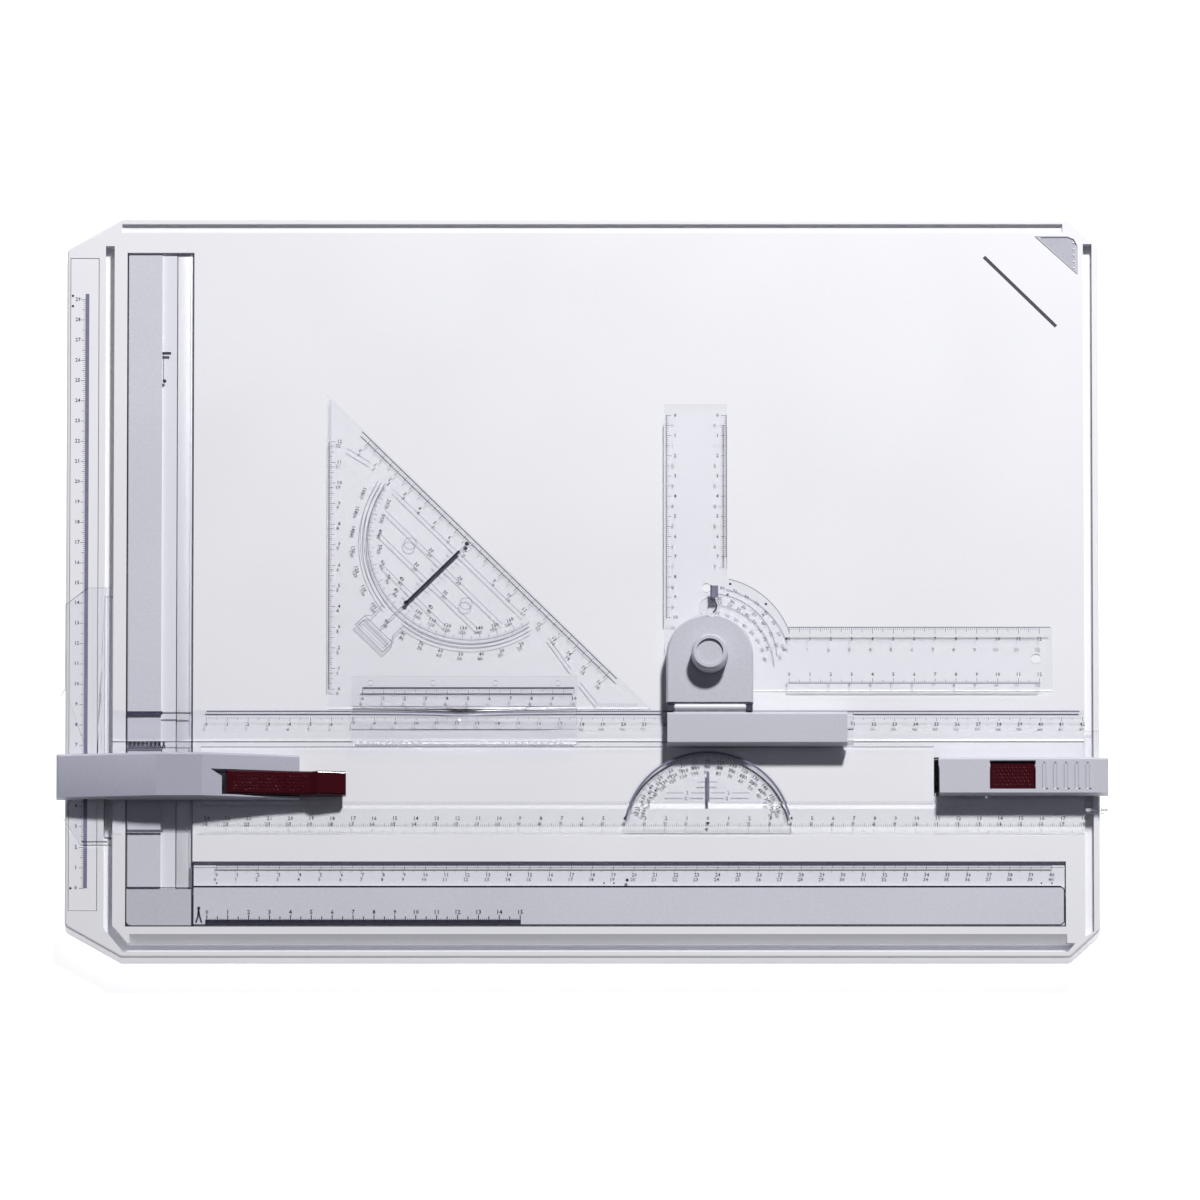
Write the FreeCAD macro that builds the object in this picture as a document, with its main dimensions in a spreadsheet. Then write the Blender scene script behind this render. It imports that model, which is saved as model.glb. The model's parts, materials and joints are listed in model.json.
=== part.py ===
import FreeCAD, Part
import os

import Sketcher

# Portable drawing board for A3 paper: a hollow plastic board with two clamp
# rails, a clear parallel bar with a set square and a swivel-ruler head on its
# rail, and two fold-out legs.  Millimetres, +X right, +Y to the back, +Z up,
# with the origin under the middle of the board at the feet.

os.makedirs("parts", exist_ok=True)
doc = FreeCAD.newDocument("drawing_board")
sheet = doc.addObject("Spreadsheet::Sheet", "dims")


# ------------------------------------------------------------------ sizes

class Size:
    """A length kept both as a number and as the sheet expression behind it."""

    def __init__(self, number, text):
        self.number = number
        self.text = text

    def __add__(self, other):
        return combine(self, "+", other)

    def __radd__(self, other):
        return combine(other, "+", self)

    def __sub__(self, other):
        return combine(self, "-", other)

    def __rsub__(self, other):
        return combine(other, "-", self)

    def __mul__(self, other):
        return combine(self, "*", other)

    def __rmul__(self, other):
        return combine(other, "*", self)

    def __truediv__(self, other):
        return combine(self, "/", other)

    def __neg__(self):
        return combine(-1.0, "*", self)


def as_size(value):
    if isinstance(value, Size):
        return value
    return Size(float(value), "(%s)" % float(value))


def combine(first, sign, second):
    first = as_size(first)
    second = as_size(second)
    numbers = {
        "+": first.number + second.number,
        "-": first.number - second.number,
        "*": first.number * second.number,
        "/": first.number / (second.number or 1.0),
    }
    return Size(numbers[sign], "(%s %s %s)" % (first.text, sign, second.text))


cell_row = 0


def cell(name, value):
    """Put one named size on the sheet."""
    global cell_row
    cell_row += 1
    sheet.set("A%d" % cell_row, name)
    sheet.set("B%d" % cell_row, str(value))
    sheet.setAlias("B%d" % cell_row, name)
    return Size(float(value), "dims." + name)


# General fits.
gap = cell("gap", 0.3)
snug = cell("snug", 0.05)
seat = cell("seat", 0.02)

# Board.
board_wide = cell("board_wide", 496)
board_deep = cell("board_deep", 366)
board_low = cell("board_low", 3)
board_thick = cell("board_thick", 13)
deck_skin = cell("deck_skin", 3)
corner_round = cell("corner_round", 3.5)
edge_round = cell("edge_round", 1.2)
left_cut_x = cell("left_cut_x", 27)
left_cut_y = cell("left_cut_y", 15.5)
right_cut_x = cell("right_cut_x", 14.5)
right_cut_y = cell("right_cut_y", 13.5)
rim = cell("rim", 3)
groove_wide = cell("groove_wide", 4.2)
groove_deep = cell("groove_deep", 5)
back_groove_deep = cell("back_groove_deep", 2)
margin_wide = cell("margin_wide", 18.6)
strip_deep = cell("strip_deep", 1.4)
cover_thick = cell("cover_thick", 2)
cover_inset = cell("cover_inset", 11)
side_solid = cell("side_solid", 25)
rib_thick = cell("rib_thick", 2.4)
foot_radius = cell("foot_radius", 7)
foot_inset_x = cell("foot_inset_x", 34)
foot_inset_y = cell("foot_inset_y", 27)
screw_radius = cell("screw_radius", 1.25)
screw_head = cell("screw_head", 2.8)
screw_head_high = cell("screw_head_high", 1.2)
screw_long = cell("screw_long", 6.2)

half_wide = board_wide / 2
half_deep = board_deep / 2
deck_top = board_low + board_thick
cover_top = board_low + cover_thick
cover_left = -half_wide + cover_inset + 5
cover_right = half_wide - cover_inset - 1
cover_front = -half_deep + cover_inset
cover_back = half_deep - cover_inset
foot_x = half_wide - foot_inset_x
foot_y = half_deep - foot_inset_y
left_groove = -half_wide + margin_wide
left_groove_in = left_groove + groove_wide
front_groove = -half_deep + rim
front_groove_in = front_groove + groove_wide
back_groove = half_deep - rim
right_groove = half_wide - rim

# Clamp rails.
rail_rise = cell("rail_rise", 0.2)
rail_deep = cell("rail_deep", 6)
rail_thick = cell("rail_thick", 3.6)
rail_pane = cell("rail_pane", 2)
rail_pocket = cell("rail_pocket", 0.6)
rail_inset = cell("rail_inset", 6.8)
thumb_wide = cell("thumb_wide", 16.3)
pane_wide = cell("pane_wide", 14.7)
rail_end = cell("rail_end", 17.9)
low_rail_inset = cell("low_rail_inset", 8.7)
low_thumb_wide = cell("low_thumb_wide", 19)
low_pane_wide = cell("low_pane_wide", 11.9)
low_rail_end = cell("low_rail_end", 17.1)
pivot_rod = cell("pivot_rod", 1.4)
rod_reach = cell("rod_reach", 3)

rail_top = deck_top + rail_rise
rail_floor = deck_top - rail_deep
rail_under = rail_top - rail_thick
pivot_high = rail_floor + pivot_rod
rail_left = left_groove_in + rail_inset
rail_seam = rail_left + thumb_wide
rail_right = rail_seam + pane_wide
rail_back = half_deep - rail_end
low_rail_front = front_groove_in + low_rail_inset
low_rail_seam = low_rail_front + low_thumb_wide
low_rail_back = low_rail_seam + low_pane_wide
low_rail_left = rail_right + 1.2
low_rail_right = half_wide - low_rail_end
corner_back = low_rail_seam - 1.3
rail_front = corner_back + 0.6
cavity_left = rail_right + 4.4
cavity_right = half_wide - side_solid - 1
cavity_front = low_rail_back + 5.2
cavity_back = half_deep - side_solid

# Parallel bar, parked a little way above the front rail.
bar_lift = cell("bar_lift", 0.4)
bar_thick = cell("bar_thick", 2.2)
bar_park = cell("bar_park", 13.8)
lower_ruler = cell("lower_ruler", 15.3)
bar_open = cell("bar_open", 27.5)
upper_ruler = cell("upper_ruler", 18.3)
bar_lip = cell("bar_lip", 0.8)
ridge_inset = cell("ridge_inset", 11.1)
ridge_wide = cell("ridge_wide", 5.2)
ridge_high = cell("ridge_high", 3.4)
dial_x = cell("dial_x", 60.1)
dial_radius = cell("dial_radius", 41.5)
dial_thick = cell("dial_thick", 2)

bar_low = deck_top + bar_lift
bar_top = bar_low + bar_thick
bar_left = left_groove_in - gap
bar_right = right_groove - groove_wide - 0.5
bar_front = low_rail_back + bar_park
lower_back = bar_front + lower_ruler
upper_front = lower_back + bar_open
bar_back = upper_front + upper_ruler
ridge_back = bar_back - ridge_inset
ridge_front = ridge_back - ridge_wide
ridge_top = bar_top + ridge_high
relief_high = rail_top + 1.2

# Heads of the bar.
head_overhang = cell("head_overhang", 4)
head_wall = cell("head_wall", 1.8)
left_head_wide = cell("left_head_wide", 21.5)
left_head_high = cell("left_head_high", 10)
left_facet = cell("left_facet", 47.7)
flat_facet = cell("flat_facet", 22.1)
right_facet = cell("right_facet", 46.6)
lever_overhang = cell("lever_overhang", 22.3)
lever_pin_radius = cell("lever_pin_radius", 1.2)
right_head_long = cell("right_head_long", 80.9)
right_head_wide = cell("right_head_wide", 17.6)
right_head_high = cell("right_head_high", 7.6)
button_inset = cell("button_inset", 24.3)
button_long = cell("button_long", 21.4)
latch_wide = cell("latch_wide", 9)
latch_stroke = cell("latch_stroke", 2)
latch_thick = cell("latch_thick", 1.5)
head_screw = cell("head_screw", 1.2)
spring_radius = cell("spring_radius", 1.6)
spring_wire = cell("spring_wire", 0.25)

head_end = half_wide + head_overhang
left_head_back = upper_front - 4.9
left_head_front = left_head_back - left_head_wide
left_head_top = bar_top + left_head_high
facet_one = -head_end + left_facet
facet_two = facet_one + flat_facet
left_head_right = facet_two + right_facet
lever_pin_x = facet_two + 30.2
lever_pin_z = bar_top + 3.2
lever_tip = left_head_right + lever_overhang
right_head_left = head_end - right_head_long
right_head_back = upper_front - 6.9
right_head_front = right_head_back - right_head_wide
right_head_top = bar_top + right_head_high
window_left = cavity_left
window_right = right_head_left - 2.8
button_left = right_head_left + button_inset
button_right = button_left + button_long
latch_back = right_head_back - 4.5
latch_front = latch_back - latch_wide
head_screw_y = right_head_back - 8.5
left_screw_x = -half_wide + 13
right_screw_x = right_head_left + 8.9
shoe_left = -half_wide - 2
shoe_right = bar_left
shoe_back = bar_back + 60.3
shoe_front = bar_front - 5.6
tongue_low = deck_top - groove_deep + 0.5

# Set square.
square_place = cell("square_place", -122.7)
square_leg = cell("square_leg", 155.5)
square_thick = cell("square_thick", 1.8)
grip_inset = cell("grip_inset", 12)
grip_long = cell("grip_long", 108.1)
grip_high = cell("grip_high", 2)
frame_thick = cell("frame_thick", 0.6)
rivet_radius = cell("rivet_radius", 1.2)

square_left = square_place
square_front = bar_back + 0.5
square_low = deck_top + gap
square_top = square_low + square_thick
frame_top = square_top + frame_thick
grip_left = square_left + grip_inset
grip_right = grip_left + grip_long
grip_top = ridge_top + grip_high

# Swivel head.
pivot_x = cell("pivot_x", 61)
pivot_out = cell("pivot_out", 24.5)
block_long = cell("block_long", 86.4)
block_wide = cell("block_wide", 15.8)
block_high = cell("block_high", 4.2)
ruler_thick = cell("ruler_thick", 1.8)
arm_long = cell("arm_long", 164.4)
arm_half = cell("arm_half", 16)
arm_up = cell("arm_up", 126)
arm_out = cell("arm_out", 21.9)
arm_in = cell("arm_in", 8.4)
sector_radius = cell("sector_radius", 40)
cap_radius = cell("cap_radius", 20.9)
cap_wall = cell("cap_wall", 1.8)
knuckle = cell("knuckle", 1.7)
hinge_pin = cell("hinge_pin", 0.9)
ear_wide = cell("ear_wide", 3.1)
knob_radius = cell("knob_radius", 8.8)
knob_high = cell("knob_high", 9.1)
stud_radius = cell("stud_radius", 2.5)
bush_wall = cell("bush_wall", 2.5)

pivot_y = bar_back + pivot_out
block_left = pivot_x - 20.4
block_right = block_left + block_long
block_front = ridge_front - 2
block_back = block_front + block_wide
block_top = ridge_top + block_high
ruler_low = frame_top + gap
ruler_top = ruler_low + ruler_thick
cap_low = ruler_top + 0.4
cap_top = block_top + 0.4
hinge_y = block_back + knuckle + gap
hinge_z = block_top - 1.6
catch_y = pivot_y + cap_radius + 3.7
bush_radius = stud_radius + bush_wall
knob_low = cap_top + gap
knob_top = knob_low + knob_high

# Legs.
leg_x = cell("leg_x", 150)
leg_inset = cell("leg_inset", 35)
leg_half = cell("leg_half", 7.5)
leg_thick = cell("leg_thick", 5.2)
leg_reach = cell("leg_reach", 55)
leg_pin = cell("leg_pin", 1.5)

leg_y = half_deep - leg_inset
leg_z = board_low + 0.6 + leg_thick / 2

doc.recompute()


# ---------------------------------------------------------------- helpers

def bind(item, path, value):
    """Tie one property of an object to the sheet."""
    item.setExpression(path, as_size(value).text)


def block(label, x_low, x_high, y_low, y_high, z_low, z_high):
    item = doc.addObject("Part::Box", label)
    item.Label = label
    bind(item, "Length", x_high - x_low)
    bind(item, "Width", y_high - y_low)
    bind(item, "Height", z_high - z_low)
    bind(item, "Placement.Base.x", x_low)
    bind(item, "Placement.Base.y", y_low)
    bind(item, "Placement.Base.z", z_low)
    return item


TURNS = {
    "x": FreeCAD.Rotation(FreeCAD.Vector(0, 1, 0), 90),
    "y": FreeCAD.Rotation(FreeCAD.Vector(1, 0, 0), -90),
    "z": FreeCAD.Rotation(),
}


def stand(item, axis, x, y, z):
    """Put a round primitive with its foot at a point, along one axis."""
    item.Placement = FreeCAD.Placement(FreeCAD.Vector(), TURNS[axis])
    bind(item, "Placement.Base.x", x)
    bind(item, "Placement.Base.y", y)
    bind(item, "Placement.Base.z", z)


def rod(label, axis, x, y, z, length, radius, angle=360):
    item = doc.addObject("Part::Cylinder", label)
    item.Label = label
    item.Angle = angle
    bind(item, "Radius", radius)
    bind(item, "Height", length)
    stand(item, axis, x, y, z)
    return item


def cone(label, axis, x, y, z, length, radius, end_radius, angle=360):
    item = doc.addObject("Part::Cone", label)
    item.Label = label
    item.Angle = angle
    bind(item, "Radius1", radius)
    bind(item, "Radius2", end_radius)
    bind(item, "Height", length)
    stand(item, axis, x, y, z)
    return item


def fuse(label, items):
    item = doc.addObject("Part::MultiFuse", label)
    item.Label = label
    item.Shapes = items
    item.Refine = True
    return item


def cut(label, base, tools):
    tool = tools[0]
    if len(tools) > 1:
        tool = fuse(label + "_tools", tools)
    item = doc.addObject("Part::Cut", label)
    item.Label = label
    item.Base = base
    item.Tool = tool
    item.Refine = True
    return item


def group(label, items):
    """Separate solids that share one node."""
    item = doc.addObject("Part::Compound", label)
    item.Label = label
    item.Links = items
    return item


def new_body(label):
    item = doc.addObject("PartDesign::Body", label)
    item.Label = label
    return item


PLANES = {"xy": ("XY_Plane", 1.0), "xz": ("XZ_Plane", -1.0), "yz": ("YZ_Plane", 1.0)}


def new_sketch(body, plane, level):
    role, sign = PLANES[plane]
    sketch = body.newObject("Sketcher::SketchObject", body.Name + "_sketch")
    support = [part for part in body.Origin.OriginFeatures if part.Role == role][0]
    sketch.AttachmentSupport = [(support, "")]
    sketch.MapMode = "FlatFace"
    bind(sketch, "AttachmentOffset.Base.z", sign * as_size(level))
    return sketch


def fix_point(sketch, shape, end, x, y):
    for kind, value in (("DistanceX", as_size(x)), ("DistanceY", as_size(y))):
        rule = Sketcher.Constraint(kind, -1, 1, shape, end, value.number)
        index = sketch.addConstraint(rule)
        name = "%s_%d" % (kind, index)
        sketch.renameConstraint(index, name)
        bind(sketch, "Constraints." + name, value)


def draw_outline(sketch, points):
    """A closed outline of straight sides."""
    first = sketch.GeometryCount
    spots = [(as_size(x), as_size(y)) for x, y in points]
    count = len(spots)
    for index in range(count):
        x, y = spots[index]
        next_x, next_y = spots[(index + 1) % count]
        start = FreeCAD.Vector(x.number, y.number, 0)
        finish = FreeCAD.Vector(next_x.number, next_y.number, 0)
        sketch.addGeometry(Part.LineSegment(start, finish), False)
    for index in range(count):
        follower = first + (index + 1) % count
        sketch.addConstraint(Sketcher.Constraint("Coincident", first + index, 2, follower, 1))
    for index in range(count):
        fix_point(sketch, first + index, 1, spots[index][0], spots[index][1])


def draw_circle(sketch, x, y, radius):
    x, y, radius = as_size(x), as_size(y), as_size(radius)
    centre = FreeCAD.Vector(x.number, y.number, 0)
    circle = Part.Circle(centre, FreeCAD.Vector(0, 0, 1), radius.number)
    shape = sketch.addGeometry(circle, False)
    fix_point(sketch, shape, 3, x, y)
    index = sketch.addConstraint(Sketcher.Constraint("Radius", shape, radius.number))
    name = "Radius_%d" % index
    sketch.renameConstraint(index, name)
    bind(sketch, "Constraints." + name, radius)


def draw(sketch, loops):
    """Each loop is a list of corners, or one (x, y, radius) for a circle."""
    for loop in loops:
        if isinstance(loop, tuple):
            draw_circle(sketch, loop[0], loop[1], loop[2])
        else:
            draw_outline(sketch, loop)


def rectangle(x_low, x_high, y_low, y_high):
    return [(x_low, y_low), (x_high, y_low), (x_high, y_high), (x_low, y_high)]


def add(body, plane, loops, low, high):
    """Add material between two levels along the plane's world axis."""
    level = high if plane == "xz" else low
    sketch = new_sketch(body, plane, level)
    draw(sketch, loops)
    pad = body.newObject("PartDesign::Pad", body.Name + "_pad")
    pad.Profile = sketch
    bind(pad, "Length", as_size(high) - low)
    doc.recompute()
    return pad


def take(body, plane, loops, low, high):
    """Remove material between two levels along the plane's world axis."""
    before = body.Shape.Volume
    level = low if plane == "xz" else high
    sketch = new_sketch(body, plane, level)
    draw(sketch, loops)
    pocket = body.newObject("PartDesign::Pocket", body.Name + "_pocket")
    pocket.Profile = sketch
    bind(pocket, "Length", as_size(high) - low)
    doc.recompute()
    if not body.Shape.Volume < before - 1e-6:
        raise RuntimeError("nothing was removed from " + body.Label)
    return pocket


def dress(body, kind, size, chosen):
    """Round or bevel the edges of a body that pass a test on their box."""
    base = body.Tip
    names = []
    for index, edge in enumerate(base.Shape.Edges):
        if chosen(edge.BoundBox):
            names.append("Edge%d" % (index + 1))
    if not names:
        raise RuntimeError("no edge to dress on " + body.Label)
    feature = body.newObject("PartDesign::" + kind, body.Name + "_" + kind.lower())
    feature.Base = (base, names)
    bind(feature, "Radius" if kind == "Fillet" else "Size", size)
    doc.recompute()
    return feature


def near(value, target):
    return abs(value - as_size(target).number) < 0.01


def upright(box):
    return box.ZLength > 0.5 and box.XLength < 0.01 and box.YLength < 0.01


def flat_at(box, level):
    return near(box.ZMin, level) and near(box.ZMax, level)


def prism(label, plane, points, low, high):
    body = new_body(label)
    add(body, plane, [points], low, high)
    return body


def plate(label, x_low, x_high, y_low, y_high, z_low, z_high):
    return prism(label, "xy", rectangle(x_low, x_high, y_low, y_high), z_low, z_high)


nodes = {}


def keep(item):
    """Note an object as a finished piece."""
    nodes[item.Label] = item
    return item


# ------------------------------------------------------------- board shell

deck = new_body("board_deck")
board_outline = [
    (-half_wide, -half_deep + left_cut_y),
    (-half_wide + left_cut_x, -half_deep),
    (half_wide - right_cut_x, -half_deep),
    (half_wide, -half_deep + right_cut_y),
    (half_wide, half_deep - right_cut_y),
    (half_wide - right_cut_x, half_deep),
    (-half_wide + left_cut_x, half_deep),
    (-half_wide, half_deep - left_cut_y),
]
add(deck, "xy", [board_outline], board_low, deck_top)
dress(deck, "Fillet", corner_round, upright)
dress(deck, "Fillet", edge_round, lambda box: flat_at(box, deck_top))

# Guide grooves: one runs down the left margin and round the front corner.
guide_path = [
    (left_groove, half_deep - left_cut_y + 1.5),
    (left_groove, -half_deep + left_cut_y - 1),
    (-half_wide + left_cut_x + 1, front_groove),
    (half_wide - right_cut_x - 1, front_groove),
    (half_wide - right_cut_x + 2.5, front_groove_in),
    (-half_wide + left_cut_x + 3.2, front_groove_in),
    (left_groove_in, -half_deep + left_cut_y + 0.5),
    (left_groove_in, half_deep - left_cut_y + 1.5),
]
back_path = rectangle(
    -half_wide + left_cut_x - 0.6, half_wide - right_cut_x - 2.5, back_groove - groove_wide, back_groove
)
right_path = [
    (right_groove - groove_wide, -half_deep + right_cut_y - 3),
    (right_groove, -half_deep + right_cut_y - 0.5),
    (right_groove, half_deep - right_cut_y + 0.5),
    (right_groove - groove_wide, half_deep - right_cut_y + 0.5),
]
take(deck, "xy", [guide_path, right_path], deck_top - groove_deep, deck_top)
take(deck, "xy", [back_path], deck_top - back_groove_deep, deck_top)

# The deck rolls over into the front groove.
front_slope = [
    (front_groove_in - 0.2, deck_top + 0.1),
    (front_groove_in - 0.2, deck_top - 2.6),
    (front_groove_in + 4.6, deck_top + 0.1),
]
take(deck, "yz", [front_slope], -half_wide + left_cut_x + 4, half_wide - right_cut_x - 1.5)

# Shallow seats for the margin scale and the corner badge, and the paper slit.
strip_left = -half_wide + 1.6
strip_right = left_groove - 3.1
strip_front = -half_deep + 23
strip_back = half_deep - 20
take(
    deck,
    "xy",
    [rectangle(strip_left, strip_right, strip_front, strip_back)],
    deck_top - strip_deep,
    deck_top,
)
badge_right = half_wide - 10.1
badge_back = half_deep - 9.5
badge_shape = [
    (badge_right, badge_back - 18.3),
    (badge_right, badge_back - 4.4),
    (badge_right - 1.6, badge_back - 1.4),
    (badge_right - 4.6, badge_back),
    (badge_right - 19.7, badge_back),
]
badge_seat = [
    (badge_right + gap, badge_back - 18.9),
    (badge_right + gap, badge_back - 4.2),
    (badge_right - 1.4, badge_back - 1.1),
    (badge_right - 4.5, badge_back + gap),
    (badge_right - 20.5, badge_back + gap),
]
slit_shape = [
    (half_wide - 55.4, half_deep - 20),
    (half_wide - 54.2, half_deep - 18.8),
    (half_wide - 19.6, half_deep - 53.4),
    (half_wide - 20.8, half_deep - 54.6),
]
take(deck, "xy", [badge_seat], deck_top - 1.2, deck_top)
take(deck, "xy", [slit_shape], deck_top - 2, deck_top)

# One L-shaped trough takes both clamp rails and the corner plate.
trough = [
    (rail_left - rail_pocket, rail_back + rail_pocket),
    (rail_left - rail_pocket, low_rail_front - rail_pocket),
    (low_rail_right + rail_pocket, low_rail_front - rail_pocket),
    (low_rail_right + rail_pocket, low_rail_back + rail_pocket),
    (rail_right + rail_pocket, low_rail_back + rail_pocket),
    (rail_right + rail_pocket, rail_back + rail_pocket),
]
take(deck, "xy", [trough], rail_floor, deck_top)
keeper_left = low_rail_left + 36.2
keeper_right = low_rail_right - 40.9
keeper_front = low_rail_back - 8.8
keeper_back = low_rail_back - 2.8
keeper_seat = rectangle(keeper_left - gap, keeper_right + gap, keeper_front - gap, keeper_back + gap)
take(deck, "xy", [keeper_seat], rail_floor - 1, rail_floor)
rod_x = rail_seam + 0.1
rod_y = low_rail_seam - 2.9
take(
    deck,
    "xz",
    [(rod_x, pivot_high, pivot_rod + seat)],
    rail_back,
    rail_back + rail_pocket + rod_reach,
)
take(
    deck,
    "yz",
    [(rod_y, pivot_high, pivot_rod + seat)],
    low_rail_right,
    low_rail_right + rail_pocket + rod_reach,
)

# Underside: seat for the base cover, ribbed hollow and screw holes.
take(deck, "xy", [rectangle(cover_left, cover_right, cover_front, cover_back)], board_low, cover_top)
cells = []
columns = 3
rows = 2
cell_wide = (cavity_right - cavity_left - rib_thick * (columns - 1)) / columns
cell_deep = (cavity_back - cavity_front - rib_thick * (rows - 1)) / rows
for column in range(columns):
    for row in range(rows):
        cell_x = cavity_left + (cell_wide + rib_thick) * column
        cell_y = cavity_front + (cell_deep + rib_thick) * row
        cells.append(rectangle(cell_x, cell_x + cell_wide, cell_y, cell_y + cell_deep))
take(deck, "xy", cells, cover_top, deck_top - deck_skin)
screw_spots = []
for side in (-1, 1):
    screw_spots.append((cover_left + 7, side * foot_y - side * 28))
    screw_spots.append((cover_right - 7, side * foot_y - side * 28))
    screw_spots.append((side * 60, cover_front + 14))
    screw_spots.append((side * 60, cover_back - 7))
take(
    deck,
    "xy",
    [(x, y, screw_radius + seat) for x, y in screw_spots],
    cover_top,
    board_low + screw_long + 0.4,
)

# A slot along the right edge takes the bar's latch.
channel_low = board_low + 5
channel_high = channel_low + 2.8
take(
    deck,
    "yz",
    [rectangle(-half_deep + 22, half_deep - 22, channel_low, channel_high)],
    half_wide - 1.5,
    half_wide,
)
keep(deck)

# Base cover with a well for each leg.
base = new_body("base_cover")
add(
    base,
    "xy",
    [rectangle(cover_left + gap, cover_right - gap, cover_front + gap, cover_back - gap)],
    board_low,
    cover_top,
)
well_half = leg_half + 1.5
well_back = leg_y + 3.5
well_front = leg_y - leg_reach - 15
well_roof = leg_z + leg_thick / 2 + 0.6
walls = []
wells = []
for side in (-1, 1):
    middle = side * leg_x
    walls.append(rectangle(middle - well_half - 2, middle + well_half + 2, well_front - 2, well_back + 2))
    wells.append(rectangle(middle - well_half, middle + well_half, well_front, well_back))
add(base, "xy", walls, cover_top, well_roof + 1.6)
take(base, "xy", wells, board_low, well_roof)
for side in (-1, 1):
    for edge in (-1, 1):
        middle = side * leg_x + edge * (well_half + 1)
        take(base, "yz", [(leg_y, leg_z, leg_pin + seat)], middle - 1, middle + 1)
take(base, "xy", [(x, y, screw_radius + gap) for x, y in screw_spots], board_low, cover_top)
take(
    base,
    "xy",
    [(x, y, screw_head + seat) for x, y in screw_spots],
    board_low,
    board_low + screw_head_high,
)
keep(base)


def screw(name, x, y, z, radius, head_radius, head_high, long):
    """A cheese-head screw standing on its slotted head."""
    shank = rod(name + "_shank", "z", x, y, z, long, radius)
    head = rod(name + "_head", "z", x, y, z, head_high, head_radius)
    slot = block(name + "_slot", x - 1.6, x + 1.6, y - 0.3, y + 0.3, z, z + 0.5)
    return cut(name, fuse(name + "_blank", [shank, head]), [slot])


screws = []
for index, (x, y) in enumerate(screw_spots):
    name = "base_screw_%d" % index
    screws.append(screw(name, x, y, board_low, screw_radius, screw_head, screw_head_high, screw_long))
keep(group("base_screws", screws))

feet = []
for column in (-1, 1):
    for row in (-1, 1):
        name = "foot_%d" % len(feet)
        pad_part = rod(name + "_pad", "z", column * foot_x, row * foot_y, 1, board_low - 1, foot_radius)
        toe = cone(name + "_toe", "z", column * foot_x, row * foot_y, 0, 1, foot_radius - 1, foot_radius)
        feet.append(fuse(name, [pad_part, toe]))
keep(group("rubber_feet", feet))

keep(
    plate(
        "margin_scale",
        strip_left + gap,
        strip_right - gap,
        strip_front + gap,
        strip_back - gap,
        deck_top - strip_deep,
        deck_top - 0.2,
    )
)
badge = prism("corner_badge", "xy", badge_shape, deck_top - 1.2, deck_top + 0.25)
keep(badge)
keep(plate("keeper_strip", keeper_left, keeper_right, keeper_front, keeper_back, rail_floor - 1, rail_floor))

corner = new_body("corner_plate")
add(corner, "xy", [rectangle(rail_left, rail_right, low_rail_front, corner_back)], rail_floor, rail_top)
dress(
    corner,
    "Fillet",
    2.4,
    lambda box: upright(box) and near(box.XMin, rail_left) and near(box.YMin, low_rail_front),
)
take(corner, "xz", [(rod_x, pivot_high, pivot_rod + seat)], corner_back - rod_reach, corner_back)
take(corner, "yz", [(rod_y, pivot_high, pivot_rod + seat)], rail_right - rod_reach, rail_right)
keep(corner)


# -------------------------------------------------------------- clamp rails

# Each rail rocks on a steel rod, grey thumb side down and clear side up.
rod_front = corner_back - rod_reach + 0.2
rod_back = rail_back + rail_pocket + rod_reach - 0.2
rod_left = rail_right - rod_reach + 0.2
rod_right = low_rail_right + rail_pocket + rod_reach - 0.2
long_rods = [
    rod("left_rail_rod", "y", rod_x, rod_front, pivot_high, rod_back - rod_front, pivot_rod),
    rod("front_rail_rod", "x", rod_left, rod_y, pivot_high, rod_right - rod_left, pivot_rod),
]
keep(group("rail_pivot_rods", long_rods))

pane_low = rail_top - rail_pane
left_bar = new_body("left_clamp_bar")
left_bar_shape = [
    (rail_left, rail_under),
    (rod_x - 2.7, rail_under),
    (rod_x - 2.7, pivot_high),
    (rod_x + 2.7, pivot_high),
    (rod_x + 2.7, rail_under),
    (rod_x + 7, rail_under),
    (rod_x + 7, pane_low),
    (rail_seam, pane_low),
    (rail_seam, rail_top),
    (rail_left, rail_top),
]
add(left_bar, "xz", [left_bar_shape], rail_front, rail_back)
dress(
    left_bar,
    "Fillet",
    0.6,
    lambda box: box.YLength > 100 and near(box.ZMin, rail_top) and near(box.XMax, rail_left),
)
take(left_bar, "xz", [(rod_x, pivot_high, pivot_rod + snug)], rail_front, rail_back)
keep(left_bar)
left_pane = plate("left_clamp_pane", rail_seam, rail_right, rail_front, rail_back, pane_low, rail_top)
keep(left_pane)

low_bar = new_body("front_clamp_bar")
low_bar_shape = [
    (low_rail_front, rail_under),
    (rod_y - 2.7, rail_under),
    (rod_y - 2.7, pivot_high),
    (rod_y + 2.7, pivot_high),
    (rod_y + 2.7, rail_under),
    (low_rail_back - 1, rail_under),
    (low_rail_back - 1, pane_low),
    (low_rail_seam, pane_low),
    (low_rail_seam, rail_top),
    (low_rail_front, rail_top),
]
add(low_bar, "yz", [low_bar_shape], low_rail_left, low_rail_right)
take(low_bar, "yz", [(rod_y, pivot_high, pivot_rod + snug)], low_rail_left, low_rail_right)
magnet_spots = []
magnet_radius = cell("magnet_radius", 3)
magnet_step = (low_rail_right - low_rail_left - 92) / 4
for index in range(5):
    magnet_spots.append((low_rail_left + 46 + magnet_step * index, low_rail_back - 5.8))
take(low_bar, "xy", [(x, y, magnet_radius + seat) for x, y in magnet_spots], rail_under, rail_under + 1.2)
keep(low_bar)
keep(plate("front_clamp_pane", low_rail_left, low_rail_right, low_rail_seam, low_rail_back, pane_low, rail_top))
magnets = []
for index, (x, y) in enumerate(magnet_spots):
    magnets.append(rod("magnet_%d" % index, "z", x, y, rail_under - 0.4, 1.6, magnet_radius))
keep(group("clamp_magnets", magnets))

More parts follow.
